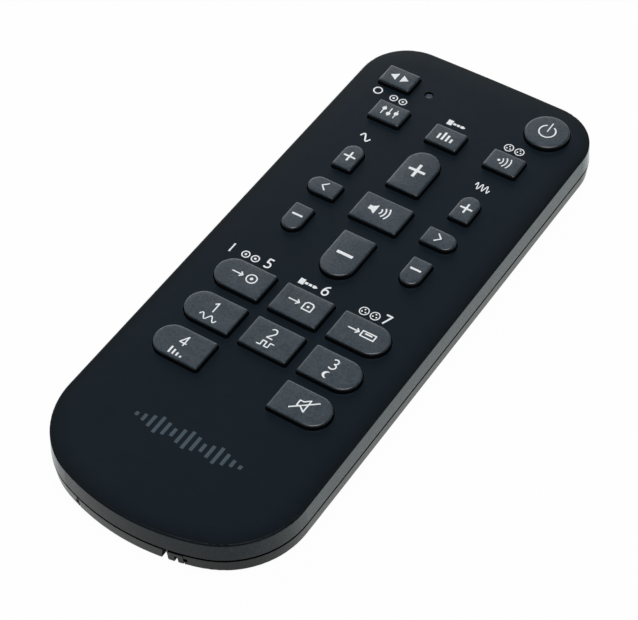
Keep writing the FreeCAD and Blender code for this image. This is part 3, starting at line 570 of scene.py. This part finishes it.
def edge_mask(tree, radius):
    """1 along rounded and sharp edges, 0 on flat faces."""
    bevel = node(tree, "ShaderNodeBevel", {"Radius": radius * MM}, samples=BEVEL_SAMPLES)
    here = node(tree, "ShaderNodeNewGeometry")
    dot = node(tree, "ShaderNodeVectorMath", operation="DOT_PRODUCT")
    tree.links.new(bevel.outputs["Normal"], dot.inputs[0])
    tree.links.new(here.outputs["Normal"], dot.inputs[1])
    return below(tree, dot.outputs["Value"], WORN_SPAN)


def open_to_air(tree, reach):
    """0 deep in a gap and 1 in the open, by how much lies within reach."""
    made = node(tree, "ShaderNodeAmbientOcclusion", {"Distance": reach * MM}, samples=GAP_SAMPLES)
    return above(tree, made.outputs["AO"], OPEN_SPAN)


def source_of(shader, name):
    """The socket that feeds one of the shader's inputs."""
    return shader.inputs[name].links[0].from_socket


# Finishes

def finish_of(name, color, rough, metallic=0.0, specular=0.5, grain=0.12, bump=0.004,
              drift=0.08, speckle=0.0, rough_drift=0.05, wear=0.0):
    """A moulded or metal surface: fine grain, drifting tone and gloss, and worn edges."""
    made = bpy.data.materials.new(name)
    made.use_nodes = True
    tree = made.node_tree
    shader = tree.nodes["Principled BSDF"]
    shader.inputs["Metallic"].default_value = metallic
    shader.inputs["Specular IOR Level"].default_value = specular
    fine = noise(tree, 1 / (grain * MM), detail=3.0, roughness=0.6, stretch=BRUSHED if metallic else None)
    broad = noise(tree, BROAD_NOISE, detail=3.0, roughness=0.55)
    cloud = noise(tree, CLOUD_NOISE)
    tone = spread(tree, broad, 0.0, 1.0)
    base = blend_colours(tree, tone, scaled(color, 1 - drift), scaled(color, 1 + drift))
    if speckle:
        lighter = blend_colours(tree, 1.0, base, scaled(WHITE, 1 + speckle), "MULTIPLY")
        base = blend_colours(tree, spread(tree, fine, 0.0, 1.0), base, lighter)
    if wear:
        patchy = spread(tree, cloud, LEAST_WEAR * wear, wear)
        strength = product(tree, edge_mask(tree, WEAR_RADIUS), patchy)
        worn = tuple(min(1.0, WORN_GAIN * c + WORN_LIFT) for c in color)
        base = blend_colours(tree, strength, base, worn)
    tree.links.new(base, shader.inputs["Base Color"])
    gloss = total(tree, spread(tree, cloud, rough - rough_drift, rough + rough_drift),
                  spread(tree, fine, -FINE_GLOSS, FINE_GLOSS))
    tree.links.new(gloss, shader.inputs["Roughness"])
    tree.links.new(relief(tree, fine, bump), shader.inputs["Normal"])
    return made


def region_arcs():
    """The arcs of the casing's outline, folded about X = 0: radius and middle."""
    near_x = HALF_WIDTH - NEAR_CORNER_RADIUS
    end_y = NEAR_END_RADIUS - HALF_LENGTH
    near_y = end_y - math.sqrt((NEAR_END_RADIUS - NEAR_CORNER_RADIUS) ** 2 - near_x ** 2)
    far = (FAR_CORNER_RADIUS, HALF_WIDTH - FAR_CORNER_RADIUS, HALF_LENGTH - FAR_CORNER_RADIUS)
    return far, (NEAR_CORNER_RADIUS, near_x, near_y), (NEAR_END_RADIUS, 0.0, end_y)


def edge_closeness(tree, place):
    """1 at the casing's outline in plan, falling to 0 a roll's width inside it."""
    aside = absolute(tree, place["X"])
    along = place["Y"]
    spot = node(tree, "ShaderNodeCombineXYZ")
    tree.links.new(aside, spot.inputs["X"])
    tree.links.new(along, spot.inputs["Y"])
    far, near, end = region_arcs()
    _, far_x, far_y = far
    _, near_x, near_y = near
    _, _, end_y = end
    from_end = combine(tree, "SUBTRACT", end_y * MM, along)
    corner_line = product(tree, from_end, near_x / (end_y - near_y))
    in_far = product(tree, combine(tree, "GREATER_THAN", aside, far_x * MM),
                     combine(tree, "GREATER_THAN", along, far_y * MM))
    near_zone = combine(tree, "LESS_THAN", along, near_y * MM)
    in_near = product(tree, near_zone, combine(tree, "GREATER_THAN", aside, corner_line))
    in_end = product(tree, near_zone, combine(tree, "LESS_THAN", aside, corner_line))
    depth = combine(tree, "MINIMUM", combine(tree, "SUBTRACT", HALF_WIDTH * MM, aside),
                    combine(tree, "SUBTRACT", HALF_LENGTH * MM, along))
    for region, (radius, x, y) in ((in_far, far), (in_near, near), (in_end, end)):
        reach = node(tree, "ShaderNodeVectorMath", operation="DISTANCE")
        tree.links.new(spot.outputs[0], reach.inputs[0])
        reach.inputs[1].default_value = (x * MM, y * MM, 0)
        in_arc = combine(tree, "SUBTRACT", radius * MM, reach.outputs["Value"])
        change = combine(tree, "SUBTRACT", in_arc, depth)
        depth = total(tree, depth, product(tree, region, change))
    close = below(tree, depth, (0.0, ROLL_WIDTH * MM))
    return product(tree, close, close)


def outside_gaps(tree, way, place):
    """0 where shade is painted: in the seam, in other gaps and on the side walls of the battery bay; 1
    elsewhere.
    """
    side_wall = above(tree, absolute(tree, way["X"]), BAY_WALL_SPAN)
    near_bay = combine(tree, "LESS_THAN", absolute(tree, place["X"]), BAY_REACH * MM)
    off_bay = combine(tree, "SUBTRACT", 1.0, product(tree, side_wall, near_bay))
    from_seam = absolute(tree, combine(tree, "SUBTRACT", place["Z"], SEAM_Z * MM))
    off_seam = above(tree, from_seam, scaled(SEAM_SHADE, MM))
    return product(tree, open_to_air(tree, CREVICE_REACH), off_bay, off_seam)


def shell_finish(name, top, side, top_rough, side_rough, side_coat, specular):
    """The casing: a soft, dark top and underside, a matt rim, and a finely grained side band, with painted
    shade towards the outline and in the seam, the gaps and the battery bay.
    """
    made = finish_of(name, top, top_rough, specular=specular, grain=0.10, bump=0.0012, drift=0.05,
                     rough_drift=0.008, wear=0.06)
    tree = made.node_tree
    shader = tree.nodes["Principled BSDF"]
    way = facing(tree)
    place = parts(tree, coordinates(tree, "Object"))
    level = absolute(tree, way["Z"])
    upright = below(tree, level, UPRIGHT_SPAN)
    rim = product(tree, below(tree, level, RIM_SPAN), above(tree, level, UPRIGHT_SPAN))
    clear_of_gap_shade = outside_gaps(tree, way, place)
    closeness = edge_closeness(tree, place)
    sparks = noise(tree, 1 / (SIDE_GRAIN * MM), roughness=0.7)

    band = blend_colours(tree, spread(tree, sparks, 0.0, 1.0), scaled(side, 1 - SIDE_CONTRAST),
                         scaled(side, 1 + SIDE_CONTRAST))
    base = source_of(shader, "Base Color")
    # Painted shade: darker towards the casing's outline
    base = blend_colours(tree, product(tree, closeness, ROLL_SHADE), base, ROLL_SHADE_COLOR)
    base = blend_colours(tree, upright, base, band)
    # Painted shade: near black in the seam, the gaps and on the bay's side walls
    base = blend_colours(tree, clear_of_gap_shade, GAP_SHADE_COLOR, base)
    tree.links.new(base, shader.inputs["Base Color"])

    gloss = total(
        tree,
        source_of(shader, "Roughness"),
        product(tree, upright, side_rough - top_rough),
        product(tree, rim, RIM_ROUGHNESS),
        spread(tree, clear_of_gap_shade, CREVICE_ROUGHNESS, 0.0, WHOLE_SPAN),
    )
    tree.links.new(gloss, shader.inputs["Roughness"])

    weight = product(
        tree,
        spread(tree, sparks, (1 - SIDE_VARIATION) * side_coat, (1 + SIDE_VARIATION) * side_coat),
        clear_of_gap_shade,
        # Painted shade: less coat, so a darker reflection, on faces turned towards the near end
        spread(tree, way["Y"], NEAR_END_COAT_SHARE, 1.0, NEAR_END_SPAN),
        combine(tree, "SUBTRACT", 1.0, rim),
        spread(tree, upright, FLAT_COAT_SHARE, 1.0, WHOLE_SPAN),
    )
    tree.links.new(weight, shader.inputs["Coat Weight"])
    shader.inputs["Coat Roughness"].default_value = COAT_ROUGHNESS
    shader.inputs["Coat IOR"].default_value = COAT_IOR
    shader.inputs["Coat Tint"].default_value = (*COAT_TINT, 1.0)

    fine_relief = source_of(shader, "Normal").node
    roll = relief(tree, combine(tree, "SUBTRACT", 1.0, closeness), ROLL_DROP)
    tree.links.new(roll, fine_relief.inputs["Normal"])
    grained = relief(tree, product(tree, sparks, upright), SIDE_RELIEF, fine_relief.outputs["Normal"])
    tree.links.new(grained, shader.inputs["Normal"])
    return made


def key_finish(name, face, wall, rough):
    """A key: a grey face with its walls painted near black as shade, polished a little along its rim."""
    made = finish_of(name, face, rough, specular=0.55, grain=0.42, bump=0.012, drift=0.05, speckle=1.7)
    tree = made.node_tree
    shader = tree.nodes["Principled BSDF"]
    level = facing(tree)["Z"]
    # Painted shade: the walls take a near-black colour
    wall_shade = below(tree, level, KEY_WALL_SPAN)
    base = blend_colours(tree, wall_shade, source_of(shader, "Base Color"), wall)
    tree.links.new(base, shader.inputs["Base Color"])
    gloss = total(tree, source_of(shader, "Roughness"), spread(tree, level, KEY_POLISH, 0.0, RIM_SPAN))
    tree.links.new(gloss, shader.inputs["Roughness"])
    return made


PALETTE = {
    "upper": shell_finish("satin_black", (0.0078, 0.0134, 0.0202), (0.004, 0.010, 0.015),
                          top_rough=0.29, side_rough=0.22, side_coat=0.88, specular=0.14),
    "lower": shell_finish("satin_black_lower", (0.0072, 0.0110, 0.0168), (0.004, 0.007, 0.008),
                          top_rough=0.32, side_rough=0.26, side_coat=0.16, specular=0.09),
    # The keys: face colour, then the near-black painted shade of the walls, then roughness
    "keys": key_finish("grained_key", (0.0172, 0.0259, 0.0345), (0.003, 0.004, 0.005), 0.42),
    "silicone": finish_of("web_silicone", SILICONE, 0.6, specular=0.3),
    "lens": finish_of("lens_finish", (0.054, 0.082, 0.115), 0.25, grain=0.3, bump=0.001, drift=0.06),
    "white": finish_of("white_print", (0.92, 0.95, 0.98), 0.5, specular=0.4, drift=0.02),
    "slate": finish_of("slate_print", (0.052, 0.078, 0.102), 0.5, specular=0.3, drift=0.04),
}


def node_finishes():
    """The finish of every solid that stays."""
    finishes = {name: PALETTE["lower"] for name in ("bottom_shell", "battery_tray", "tray_latch")}
    finishes["top_shell"] = PALETTE["upper"]
    for name, values in SOLID_FINISHES.items():
        finishes[name] = finish_of(name + "_finish", *values, grain=0.15, bump=0.002)
    for name, made in finishes.items():
        mesh = NODES[name].data
        mesh.materials.clear()
        mesh.materials.append(made)


# Marks, drawn in the plane about their own middle

def stroke(points, width, closed=False):
    """A line of constant width: a rectangle for each run and a round joint at each bend."""
    points = [Vector(p) for p in points]
    half = width / 2
    ends = points[1:] + points[:1] if closed else points[1:]
    marks = []
    for a, b in zip(points, ends):
        across = Vector((a.y - b.y, b.x - a.x)).normalized() * half
        marks.append([tuple(a + across), tuple(a - across), tuple(b - across), tuple(b + across)])
    for point in points if closed else points[1:-1]:
        marks.append(circle(point.x, point.y, half, JOINT_STEPS))
    return marks


def ring(x, y, radius, width, start=0, end=360):
    """A ring, or part of one."""
    points = arc(x, y, radius, radius, start, end)
    whole = end - start == 360
    return stroke(points[:-1] if whole else points, width, whole)


def disc(x, y, radius):
    """A filled circle."""
    return [circle(x, y, radius)]


def bar(x, y, width, height):
    """A filled rectangle about a point."""
    a = width / 2
    b = height / 2
    return [[(x - a, y - b), (x + a, y - b), (x + a, y + b), (x - a, y + b)]]


def moved(marks, x, y):
    """Marks moved to another place."""
    return [[(x + px, y + py) for px, py in mark] for mark in marks]


def mirrored(points):
    """An outline or a line mirrored left to right, still drawn anticlockwise."""
    return [(-x, y) for x, y in reversed(points)]


def pair(marks, gap):
    """The same marks twice, side by side."""
    return moved(marks, -gap, 0) + moved(marks, gap, 0)


def wave(periods, width, height, pen):
    """A sine wave."""
    steps = int(WAVE_STEPS * periods)
    points = []
    for i in range(steps + 1):
        points.append((width * (i / steps - 0.5), height / 2 * math.sin(2 * math.pi * periods * i / steps)))
    return stroke(points, pen)


def square_wave(width, height, pen):
    """A square wave of two pulses."""
    a = width / 2
    b = width / 4
    h = height / 2
    return stroke([(-a, -h), (-b, -h), (-b, h), (0, h), (0, -h), (b, -h), (b, h), (a, h)], pen)


def level_bars(heights, pitch, width, base=None):
    """Upright bars of given heights, standing on a base line or about a middle line."""
    marks = []
    for index, height in enumerate(heights):
        y = 0.0 if base is None else base + height / 2
        marks += bar(pitch * (index - (len(heights) - 1) / 2), y, width, height)
    return marks


def sliders():
    """Three sliders at different settings."""
    marks = []
    for x, knob in ((-1.5, 0.5), (0.0, -0.55), (1.5, 0.25)):
        marks += bar(x, 0, 0.24, 2.5) + disc(x, knob, 0.5)
    return marks


def sound(x, pen, waves):
    """Arcs that spread to the right, each a radius and half its angle."""
    marks = []
    for radius, half in waves:
        marks += ring(x, 0, radius, pen, -half, half)
    return marks


def digit(number, height, pen):
    """A plain digit drawn with one pen, centred."""
    lines = {
        1: [[(0.08, 0.76), (0.34, 0.97), (0.34, 0.0)]],
        2: [arc(0.28, 0.70, 0.25, 0.27, 150, -38) + [(0.06, 0.04)], [(0.02, 0.03), (0.57, 0.03)]],
        3: [arc(0.26, 0.745, 0.23, 0.225, 140, -90), arc(0.24, 0.275, 0.29, 0.25, 90, -140)],
        4: [[(0.44, 0.0), (0.44, 0.95), (0.02, 0.27), (0.62, 0.27)]],
        5: [[(0.53, 0.97), (0.14, 0.97), (0.11, 0.56)] + arc(0.25, 0.29, 0.29, 0.27, 112, -132)],
        6: [arc(0.57, 0.36, 0.52, 0.61, 98, 178), arc(0.31, 0.30, 0.25, 0.28, 0, 360)],
        7: [[(0.02, 0.97), (0.56, 0.97), (0.18, 0.0)]],
    }[number]
    xs = [x for points in lines for x, _ in points]
    middle = (min(xs) + max(xs)) / 2
    marks = []
    for points in lines:
        marks += stroke([(height * (x - middle), height * (y - 0.485)) for x, y in points], pen)
    return marks


def plus(size, width):
    """A plus sign as one closed shape."""
    a = size / 2
    b = width / 2
    arms = [(-a, -b), (-b, -b), (-b, -a), (b, -a), (b, -b), (a, -b)]
    return [arms + [(-x, -y) for x, y in arms]]


def speaker(height):
    """The outline of a small loudspeaker seen from the side, open to the right."""
    return [(x * height / 2, y * height / 2) for x, y in SPEAKER_OUTLINE]


def arrow(length, pen):
    """An arrow to the right."""
    tip = length / 2
    head = 0.62
    shaft = stroke([(-tip, 0), (tip - pen, 0)], pen)
    return shaft + stroke([(tip - head, head), (tip, 0), (tip - head, -head)], pen)


def round_socket(size, pen):
    """A round socket seen from the front."""
    return ring(0, 0, (size - pen) / 2, pen) + disc(0, 0, 0.15 * size)


def square_socket(size, pen):
    """A square socket with two trimmed corners, seen from the front."""
    trim = 0.2 * size
    edge = (size - pen) / 2
    foot = [(-edge, -edge), (edge, -edge)]
    top = [(edge, edge - trim), (edge - trim, edge), (trim - edge, edge), (-edge, edge - trim)]
    return stroke(foot + top, pen, True) + disc(0, -0.05, 0.13 * size)


def flat_socket(size, pen):
    """A flat socket with its tongue, seen from the front."""
    a = 0.675 * size
    b = 0.31 * size
    tongue = bar(0, 0.09 * size, 0.75 * size, 0.16 * size)
    return stroke(bar(0, 0, 2 * a, 2 * b)[0], pen, True) + tongue


def input_mark(socket, size):
    """An arrow into a socket."""
    return moved(arrow(2.5, PEN), -1.75, 0) + moved(socket(size, PEN), 1.6, 0)


def plug_mark():
    """A jack plug lying on its side."""
    tip = [(1.0, -0.3), (1.5, -0.42), (2.15, 0), (1.5, 0.42), (1.0, 0.3)]
    return bar(-1.55, 0, 1.2, 1.5) + bar(-0.45, 0, 0.7, 0.6) + bar(0.45, 0, 0.7, 0.6) + [tip]


def pin_mark(size, pen):
    """A round plug with three pins."""
    marks = ring(0, 0, (size - pen) / 2, pen)
    for angle in (90, 210, 330):
        a = math.radians(angle)
        marks += disc(0.21 * size * math.cos(a), 0.21 * size * math.sin(a), 0.085 * size)
    return marks


def key_prints():
    """The marks on the keys: name, key, offset from the key's middle, marks."""
    triangle = [(0.55, 1.1), (0.55, -1.1), (2.2, 0)]
    chevron = [(0.55, 1.1), (-0.55, 0), (0.55, -1.1)]
    crescent = arc(0, 0, 0.85, 0.85, 60, 300) + arc(0.42, 0, 0.72, 0.72, 270, 90)[1:-1]
    loudness = disc(-1.5, 0, 0.32) + sound(-1.7, FINE_PEN, ((1.15, 48), (2.0, 42), (2.85, 30)))
    volume = moved([speaker(2.7)], -2.1, 0) + sound(-1.1, 0.33, ((1.0, 45), (1.85, 42), (2.7, 34)))
    mute = moved(stroke(speaker(3.0), PEN, True), -0.2, 0) + stroke([(-2.4, -1.9), (2.4, 1.9)], PEN)
    return [
        ("select", "key_select", 0, 0, [mirrored(triangle), triangle]),
        ("power", "key_power", 0, 0.05, ring(0, 0, 1.78, 0.32, 116, 424) + bar(0, 1.30, 0.28, 2.8)),
        ("tone", "key_tone", 0, 0.1, sliders()),
        ("equaliser", "key_equaliser", 0, 0, level_bars((1.6, 2.4, 1.9, 1.2), 1.0, 0.5, -1.2)),
        ("loudness", "key_loudness", 0.15, 0, loudness),
        ("volume_up", "key_volume_up", 0, 0.2, plus(3.85, 0.66)),
        ("volume_down", "key_volume_down", 0, 0, bar(0, 0, 3.7, 0.72)),
        ("bass_up", "key_bass_up", 0, 0, plus(2.75, 0.44)),
        ("treble_up", "key_treble_up", 0, 0, plus(2.75, 0.44)),
        ("bass_down", "key_bass_down", 0, 0.45, bar(0, 0, 2.45, 0.5)),
        ("treble_down", "key_treble_down", 0, 0.45, bar(0, 0, 2.45, 0.5)),
        ("volume", "key_volume", 0.15, 0.1, volume),
        ("balance_left", "key_balance_left", 0.1, 0.1, stroke(chevron, PEN)),
        ("balance_right", "key_balance_right", -0.35, 0.1, stroke(mirrored(chevron), PEN)),
        ("coaxial", "key_coaxial_input", 0.4, 0.4, input_mark(round_socket, 2.5)),
        ("optical", "key_optical_input", -0.15, 0.3, input_mark(square_socket, 2.3)),
        ("usb", "key_usb_input", -0.35, 0.3, input_mark(flat_socket, 2.2)),
        ("1", "key_1", 0.1, 0.7, digit(1, KEY_DIGIT, PEN)),
        ("2", "key_2", -0.5, 1.05, digit(2, KEY_DIGIT, PEN)),
        ("3", "key_3", -0.4, 1.05, digit(3, KEY_DIGIT, PEN)),
        ("4", "key_4", 0.15, 0.85, digit(4, KEY_DIGIT, PEN)),
        ("wave", "key_1", 0.4, -2.1, wave(2, 4.0, 1.3, FINE_PEN)),
        ("pulse", "key_2", -0.4, -1.7, square_wave(3.4, 1.2, FINE_PEN)),
        ("moon", "key_3", -0.4, -1.8, [crescent]),
        ("levels", "key_4", 0.3, -2.2, level_bars((1.7, 1.3, 0.86, 0.46), 0.9, 0.42, -0.85)),
        ("mute", "key_mute", 0.2, 0.1, mute),
    ]


def case_prints():
    """The marks on the casing: name, the key they stand by, offset from its middle, marks."""
    sockets = pair(round_socket(1.9, FINE_PEN), 1.15)
    pins = pair(pin_mark(2.15, 0.22), 1.25)
    return [
        ("output_row", "key_tone", -6.24, 5.5, ring(0, 0, 0.93, 0.32)),
        ("input_row", "key_coaxial_input", -6.72, 6.15, bar(0, 0, 0.36, 2.4)),
        ("output_pair", "key_tone", -0.94, 5.2, sockets),
        ("output_plug", "key_equaliser", -0.5, 5.2, plug_mark()),
        ("output_pins", "key_loudness", -0.56, 5.2, pins),
        ("input_pair", "key_coaxial_input", -2.17, 6.05, sockets),
        ("input_plug", "key_optical_input", -2.3, 6.05, plug_mark()),
        ("input_pins", "key_usb_input", -2.03, 6.05, pins),
        ("5", "key_coaxial_input", 2.03, 6.4, digit(5, CASE_DIGIT, BOLD_PEN)),
        ("6", "key_optical_input", 1.6, 6.4, digit(6, CASE_DIGIT, BOLD_PEN)),
        ("7", "key_usb_input", 1.62, 6.4, digit(7, CASE_DIGIT, BOLD_PEN)),
        ("low_wave", "key_bass_up", -0.84, 7.43, wave(1, 2.5, 1.9, 0.36)),
        ("high_wave", "key_treble_up", -0.66, 7.73, wave(3, 3.4, 1.8, 0.24)),
    ]


def print_sheet(name, carrier, ink, marks):
    """One print as a thin closed sheet that follows the face below it."""
    coords = []
    outlines = []
    for mark in marks:
        loop = densify(mark, INK_PITCH)
        outlines.append(list(range(len(coords), len(coords) + len(loop))))
        coords += [Vector(p) for p in loop]
    verts, _, tris, _, _, owners = delaunay_2d_cdt(coords, [], outlines, TRIANGLES_IN_HULL, MARK_MERGE)
    kept = [t for t, owner in zip(tris, owners) if owner]
    build = Build()
    upper = {}
    lower = {}
    for v in sorted({v for t in kept for v in t}):
        x, y = verts[v]
        z = CASE_TOP if carrier == "case" else KEYS[carrier].height(x, y)
        upper[v] = build.point(x, y, z + INK)
        lower[v] = build.point(x, y, z - INK / 2)
    edges = []
    for t in kept:
        a, b, c = t
        if (verts[b] - verts[a]).cross(verts[c] - verts[a]) < 0:
            t = [a, c, b]
        build.faces.append(tuple(upper[v] for v in t))
        build.faces.append(tuple(lower[v] for v in reversed(t)))
        edges += zip(t, t[1:] + t[:1])
    drawn = set(edges)
    for a, b in edges:
        if (b, a) not in drawn:
            build.faces.append((upper[a], lower[a], lower[b], upper[b]))
    item = build.make("print_" + name, PALETTE[ink], PRINT_ANGLE)
    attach(item, carrier)


def all_prints():
    """Every mark, moved to its place and laid on its face."""
    for name, key, x, y, marks in key_prints():
        print_sheet(name, key, "white", moved(marks, KEYS[key].x + x, KEYS[key].y + y))
    for name, key, x, y, marks in case_prints():
        print_sheet(name, "case", "white", moved(marks, KEYS[key].x + x, KEYS[key].y + y))
    emblem = level_bars(EMBLEM_BARS, EMBLEM_PITCH, EMBLEM_BAR)
    print_sheet("emblem", "case", "slate", moved(emblem, 0.0, EMBLEM_FROM_END - HALF_LENGTH))


# Keys, webs and lens

def key_piece(key):
    """A silicone key: pillowed cap with a soft edge, hidden flange and the pill below."""
    build = Build()
    rings = []
    for step in range(EDGE_STEPS + 1):
        inset = KEY_EDGE * (1 - math.sin(math.radians(90 * step / EDGE_STEPS)))
        loop = key.outline(-inset)
        rings.append(build.ring(loop, [key.height(x, y) for x, y in loop]))
    build.fill(rings[0], inner=key.face_points(), height=key.height)
    for grow, z in (
        (0.0, FLANGE_HIGH + WALL_FILLET),
        (WALL_FILLET, FLANGE_HIGH),
        (FLANGE_WIDTH - FLANGE_BEVEL, FLANGE_HIGH),
        (FLANGE_WIDTH, FLANGE_HIGH - FLANGE_BEVEL),
        (FLANGE_WIDTH, FLANGE_LOW),
    ):
        rings.append(build.ring(key.outline(grow), z))
    build.stack(rings)
    pill = circle(key.x, key.y, PILL_RADIUS, PILL_STEPS)
    root = build.ring(pill, FLANGE_LOW)
    build.fill(rings[-1], holes=[root], up=False)
    foot = build.ring(pill, PILL_LOW)
    build.join(root, foot)
    build.fill(foot, up=False)
    item = build.make("cap_" + key.name[4:], PALETTE["keys"], SOFT_ANGLE)
    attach(item, key.name)
    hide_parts(key.name)


def web_piece(key):
    """The thin skirt below a key's flange, attached to the casing."""
    build = Build()
    outer = []
    inner = []
    for step in reversed(range(WEB_STEPS + 1)):
        t = step / WEB_STEPS
        ease = t * t * (3 - 2 * t)
        grow = WINDOW_WIDTH + (FLANGE_WIDTH - WINDOW_WIDTH) * ease
        z = WEB_LOW + (FLANGE_LOW - WEB_LOW) * t
        outer.append(build.ring(key.outline(grow), z))
        inner.append(build.ring(key.outline(grow - WEB_THICKNESS), z))
    build.stack(outer)
    build.stack(inner[::-1])
    build.join(inner[0], outer[0])
    build.join(outer[-1], inner[-1])
    item = build.make("web_" + key.name[4:], PALETTE["silicone"], SOFT_ANGLE)
    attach(item, "case")
    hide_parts("keypad_webs")
    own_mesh(item)


def lens_piece():
    """The indicator's lens: a foot below the casing and a stem with a softly dished face."""
    low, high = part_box("indicator_lens")
    x = (low.x + high.x) / 2 / MM
    y = (low.y + high.y) / 2 / MM
    foot = (high.x - low.x) / 2 / MM
    shoulder = LENS_STEM - LENS_ROUNDING
    profile = [(foot, low.z / MM), (foot, LENS_FOOT_TOP - LENS_FOOT_BEVEL),
               (foot - LENS_FOOT_BEVEL, LENS_FOOT_TOP), (LENS_STEM, LENS_FOOT_TOP),
               (LENS_STEM, LENS_RIM - LENS_ROUNDING)]
    profile += arc(shoulder, LENS_RIM - LENS_ROUNDING, LENS_ROUNDING, LENS_ROUNDING, 15, 90, 5)
    profile += [(radius, LENS_RIM - drop) for radius, drop in LENS_DISH]
    build = Build()
    rings = [build.ring(circle(x, y, radius, LENS_STEPS), z) for radius, z in profile]
    build.stack(rings[::-1])
    build.fill(rings[-1])
    build.fill(rings[0], up=False)
    item = build.make("lens", PALETTE["lens"], LENS_ANGLE)
    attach(item, "case")
    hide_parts("indicator_lens")


# Studio

def backdrop_rays(tree, glossy_share=1.0):
    """1 on rays that show the white backdrop: camera, transmission and all or a share of the glossy."""
    path = node(tree, "ShaderNodeLightPath")
    shine = product(tree, path.outputs["Is Glossy Ray"], glossy_share)
    seen = combine(tree, "MAXIMUM", path.outputs["Is Camera Ray"], path.outputs["Is Transmission Ray"])
    return combine(tree, "MAXIMUM", seen, shine)


def mixed_shaders(tree, factor, first, second):
    """Two shaders mixed by a socket."""
    made = node(tree, "ShaderNodeMixShader")
    tree.links.new(factor, made.inputs["Fac"])
    tree.links.new(first.outputs[0], made.inputs[1])
    tree.links.new(second.outputs[0], made.inputs[2])
    return made


def floor():
    """A white floor that keeps a faint shadow and can be looked through from below."""
    bpy.ops.mesh.primitive_plane_add(size=FLOOR_METRES, location=(0, 0, -FLOOR_GAP * MM))
    item = bpy.context.object
    item.name = "floor"
    made = bpy.data.materials.new("floor_white")
    made.use_nodes = True
    tree = made.node_tree
    tree.nodes.clear()
    paper = node(tree, "ShaderNodeBsdfDiffuse", {"Color": (*FLOOR_COLOR, 1.0)})
    glow = node(tree, "ShaderNodeEmission", {"Color": (*WHITE, 1.0), "Strength": 1.0})
    clear = node(tree, "ShaderNodeBsdfTransparent")
    seen = mixed_shaders(tree, product(tree, backdrop_rays(tree), FLOOR_GLOW), paper, glow)
    back = node(tree, "ShaderNodeNewGeometry").outputs["Backfacing"]
    one_way = mixed_shaders(tree, back, seen, clear)
    out = node(tree, "ShaderNodeOutputMaterial")
    tree.links.new(one_way.outputs[0], out.inputs["Surface"])
    item.data.materials.append(made)


def sky_patch(tree, direction, strength, angles):
    """A smooth patch of sky around a direction, by the cosine of the angle from it."""
    dot = node(tree, "ShaderNodeVectorMath", operation="DOT_PRODUCT")
    dot.inputs[1].default_value = Vector(direction).normalized()
    tree.links.new(coordinates(tree, "Generated"), dot.inputs[0])
    inner, outer = (math.cos(math.radians(angle)) for angle in angles)
    return spread(tree, dot.outputs["Value"], 0.0, strength, (outer, inner), "SMOOTHSTEP")


def sky():
    """A soft studio: a large lamp overhead, light from the left, and a white backdrop.

    Glossy surfaces show the backdrop low down all round, as they show the floor.
    """
    world = bpy.data.worlds.new("sky")
    bpy.context.scene.world = world
    world.use_nodes = True
    tree = world.node_tree
    light = total(tree, SKY_BASE, *[sky_patch(tree, *patch) for patch in SKY_PATCHES])
    up = parts(tree, coordinates(tree, "Generated"))["Z"]
    horizon = spread(tree, up, 1.0, 0.0, HORIZON_SPAN, "SMOOTHSTEP")
    strength = node(tree, "ShaderNodeMix", data_type="FLOAT")
    tree.links.new(backdrop_rays(tree, horizon), strength.inputs["Factor"])
    tree.links.new(light, strength.inputs[2])
    strength.inputs[3].default_value = 1.0
    back = tree.nodes["Background"]
    back.inputs["Color"].default_value = (*WHITE, 1.0)
    tree.links.new(strength.outputs[0], back.inputs["Strength"])


def camera():
    """The photograph's viewpoint."""
    data = bpy.data.cameras.new("camera")
    data.lens = CAMERA_LENS
    data.sensor_width = CAMERA_SENSOR
    data.clip_start = CAMERA_NEAREST
    item = bpy.data.objects.new("camera", data)
    bpy.context.scene.collection.objects.link(item)
    turn = Euler((math.radians(CAMERA_TILT), 0, math.radians(CAMERA_TURN))).to_matrix().to_4x4()
    roll = Matrix.Rotation(math.radians(CAMERA_ROLL), 4, "Z")
    item.matrix_world = Matrix.Translation(CAMERA_PLACE) @ turn @ roll
    bpy.context.scene.camera = item


node_finishes()
lens_piece()
for key in KEYS.values():
    key_piece(key)
    web_piece(key)
all_prints()
floor()
sky()
camera()
bpy.context.scene.view_settings.view_transform = "Standard"
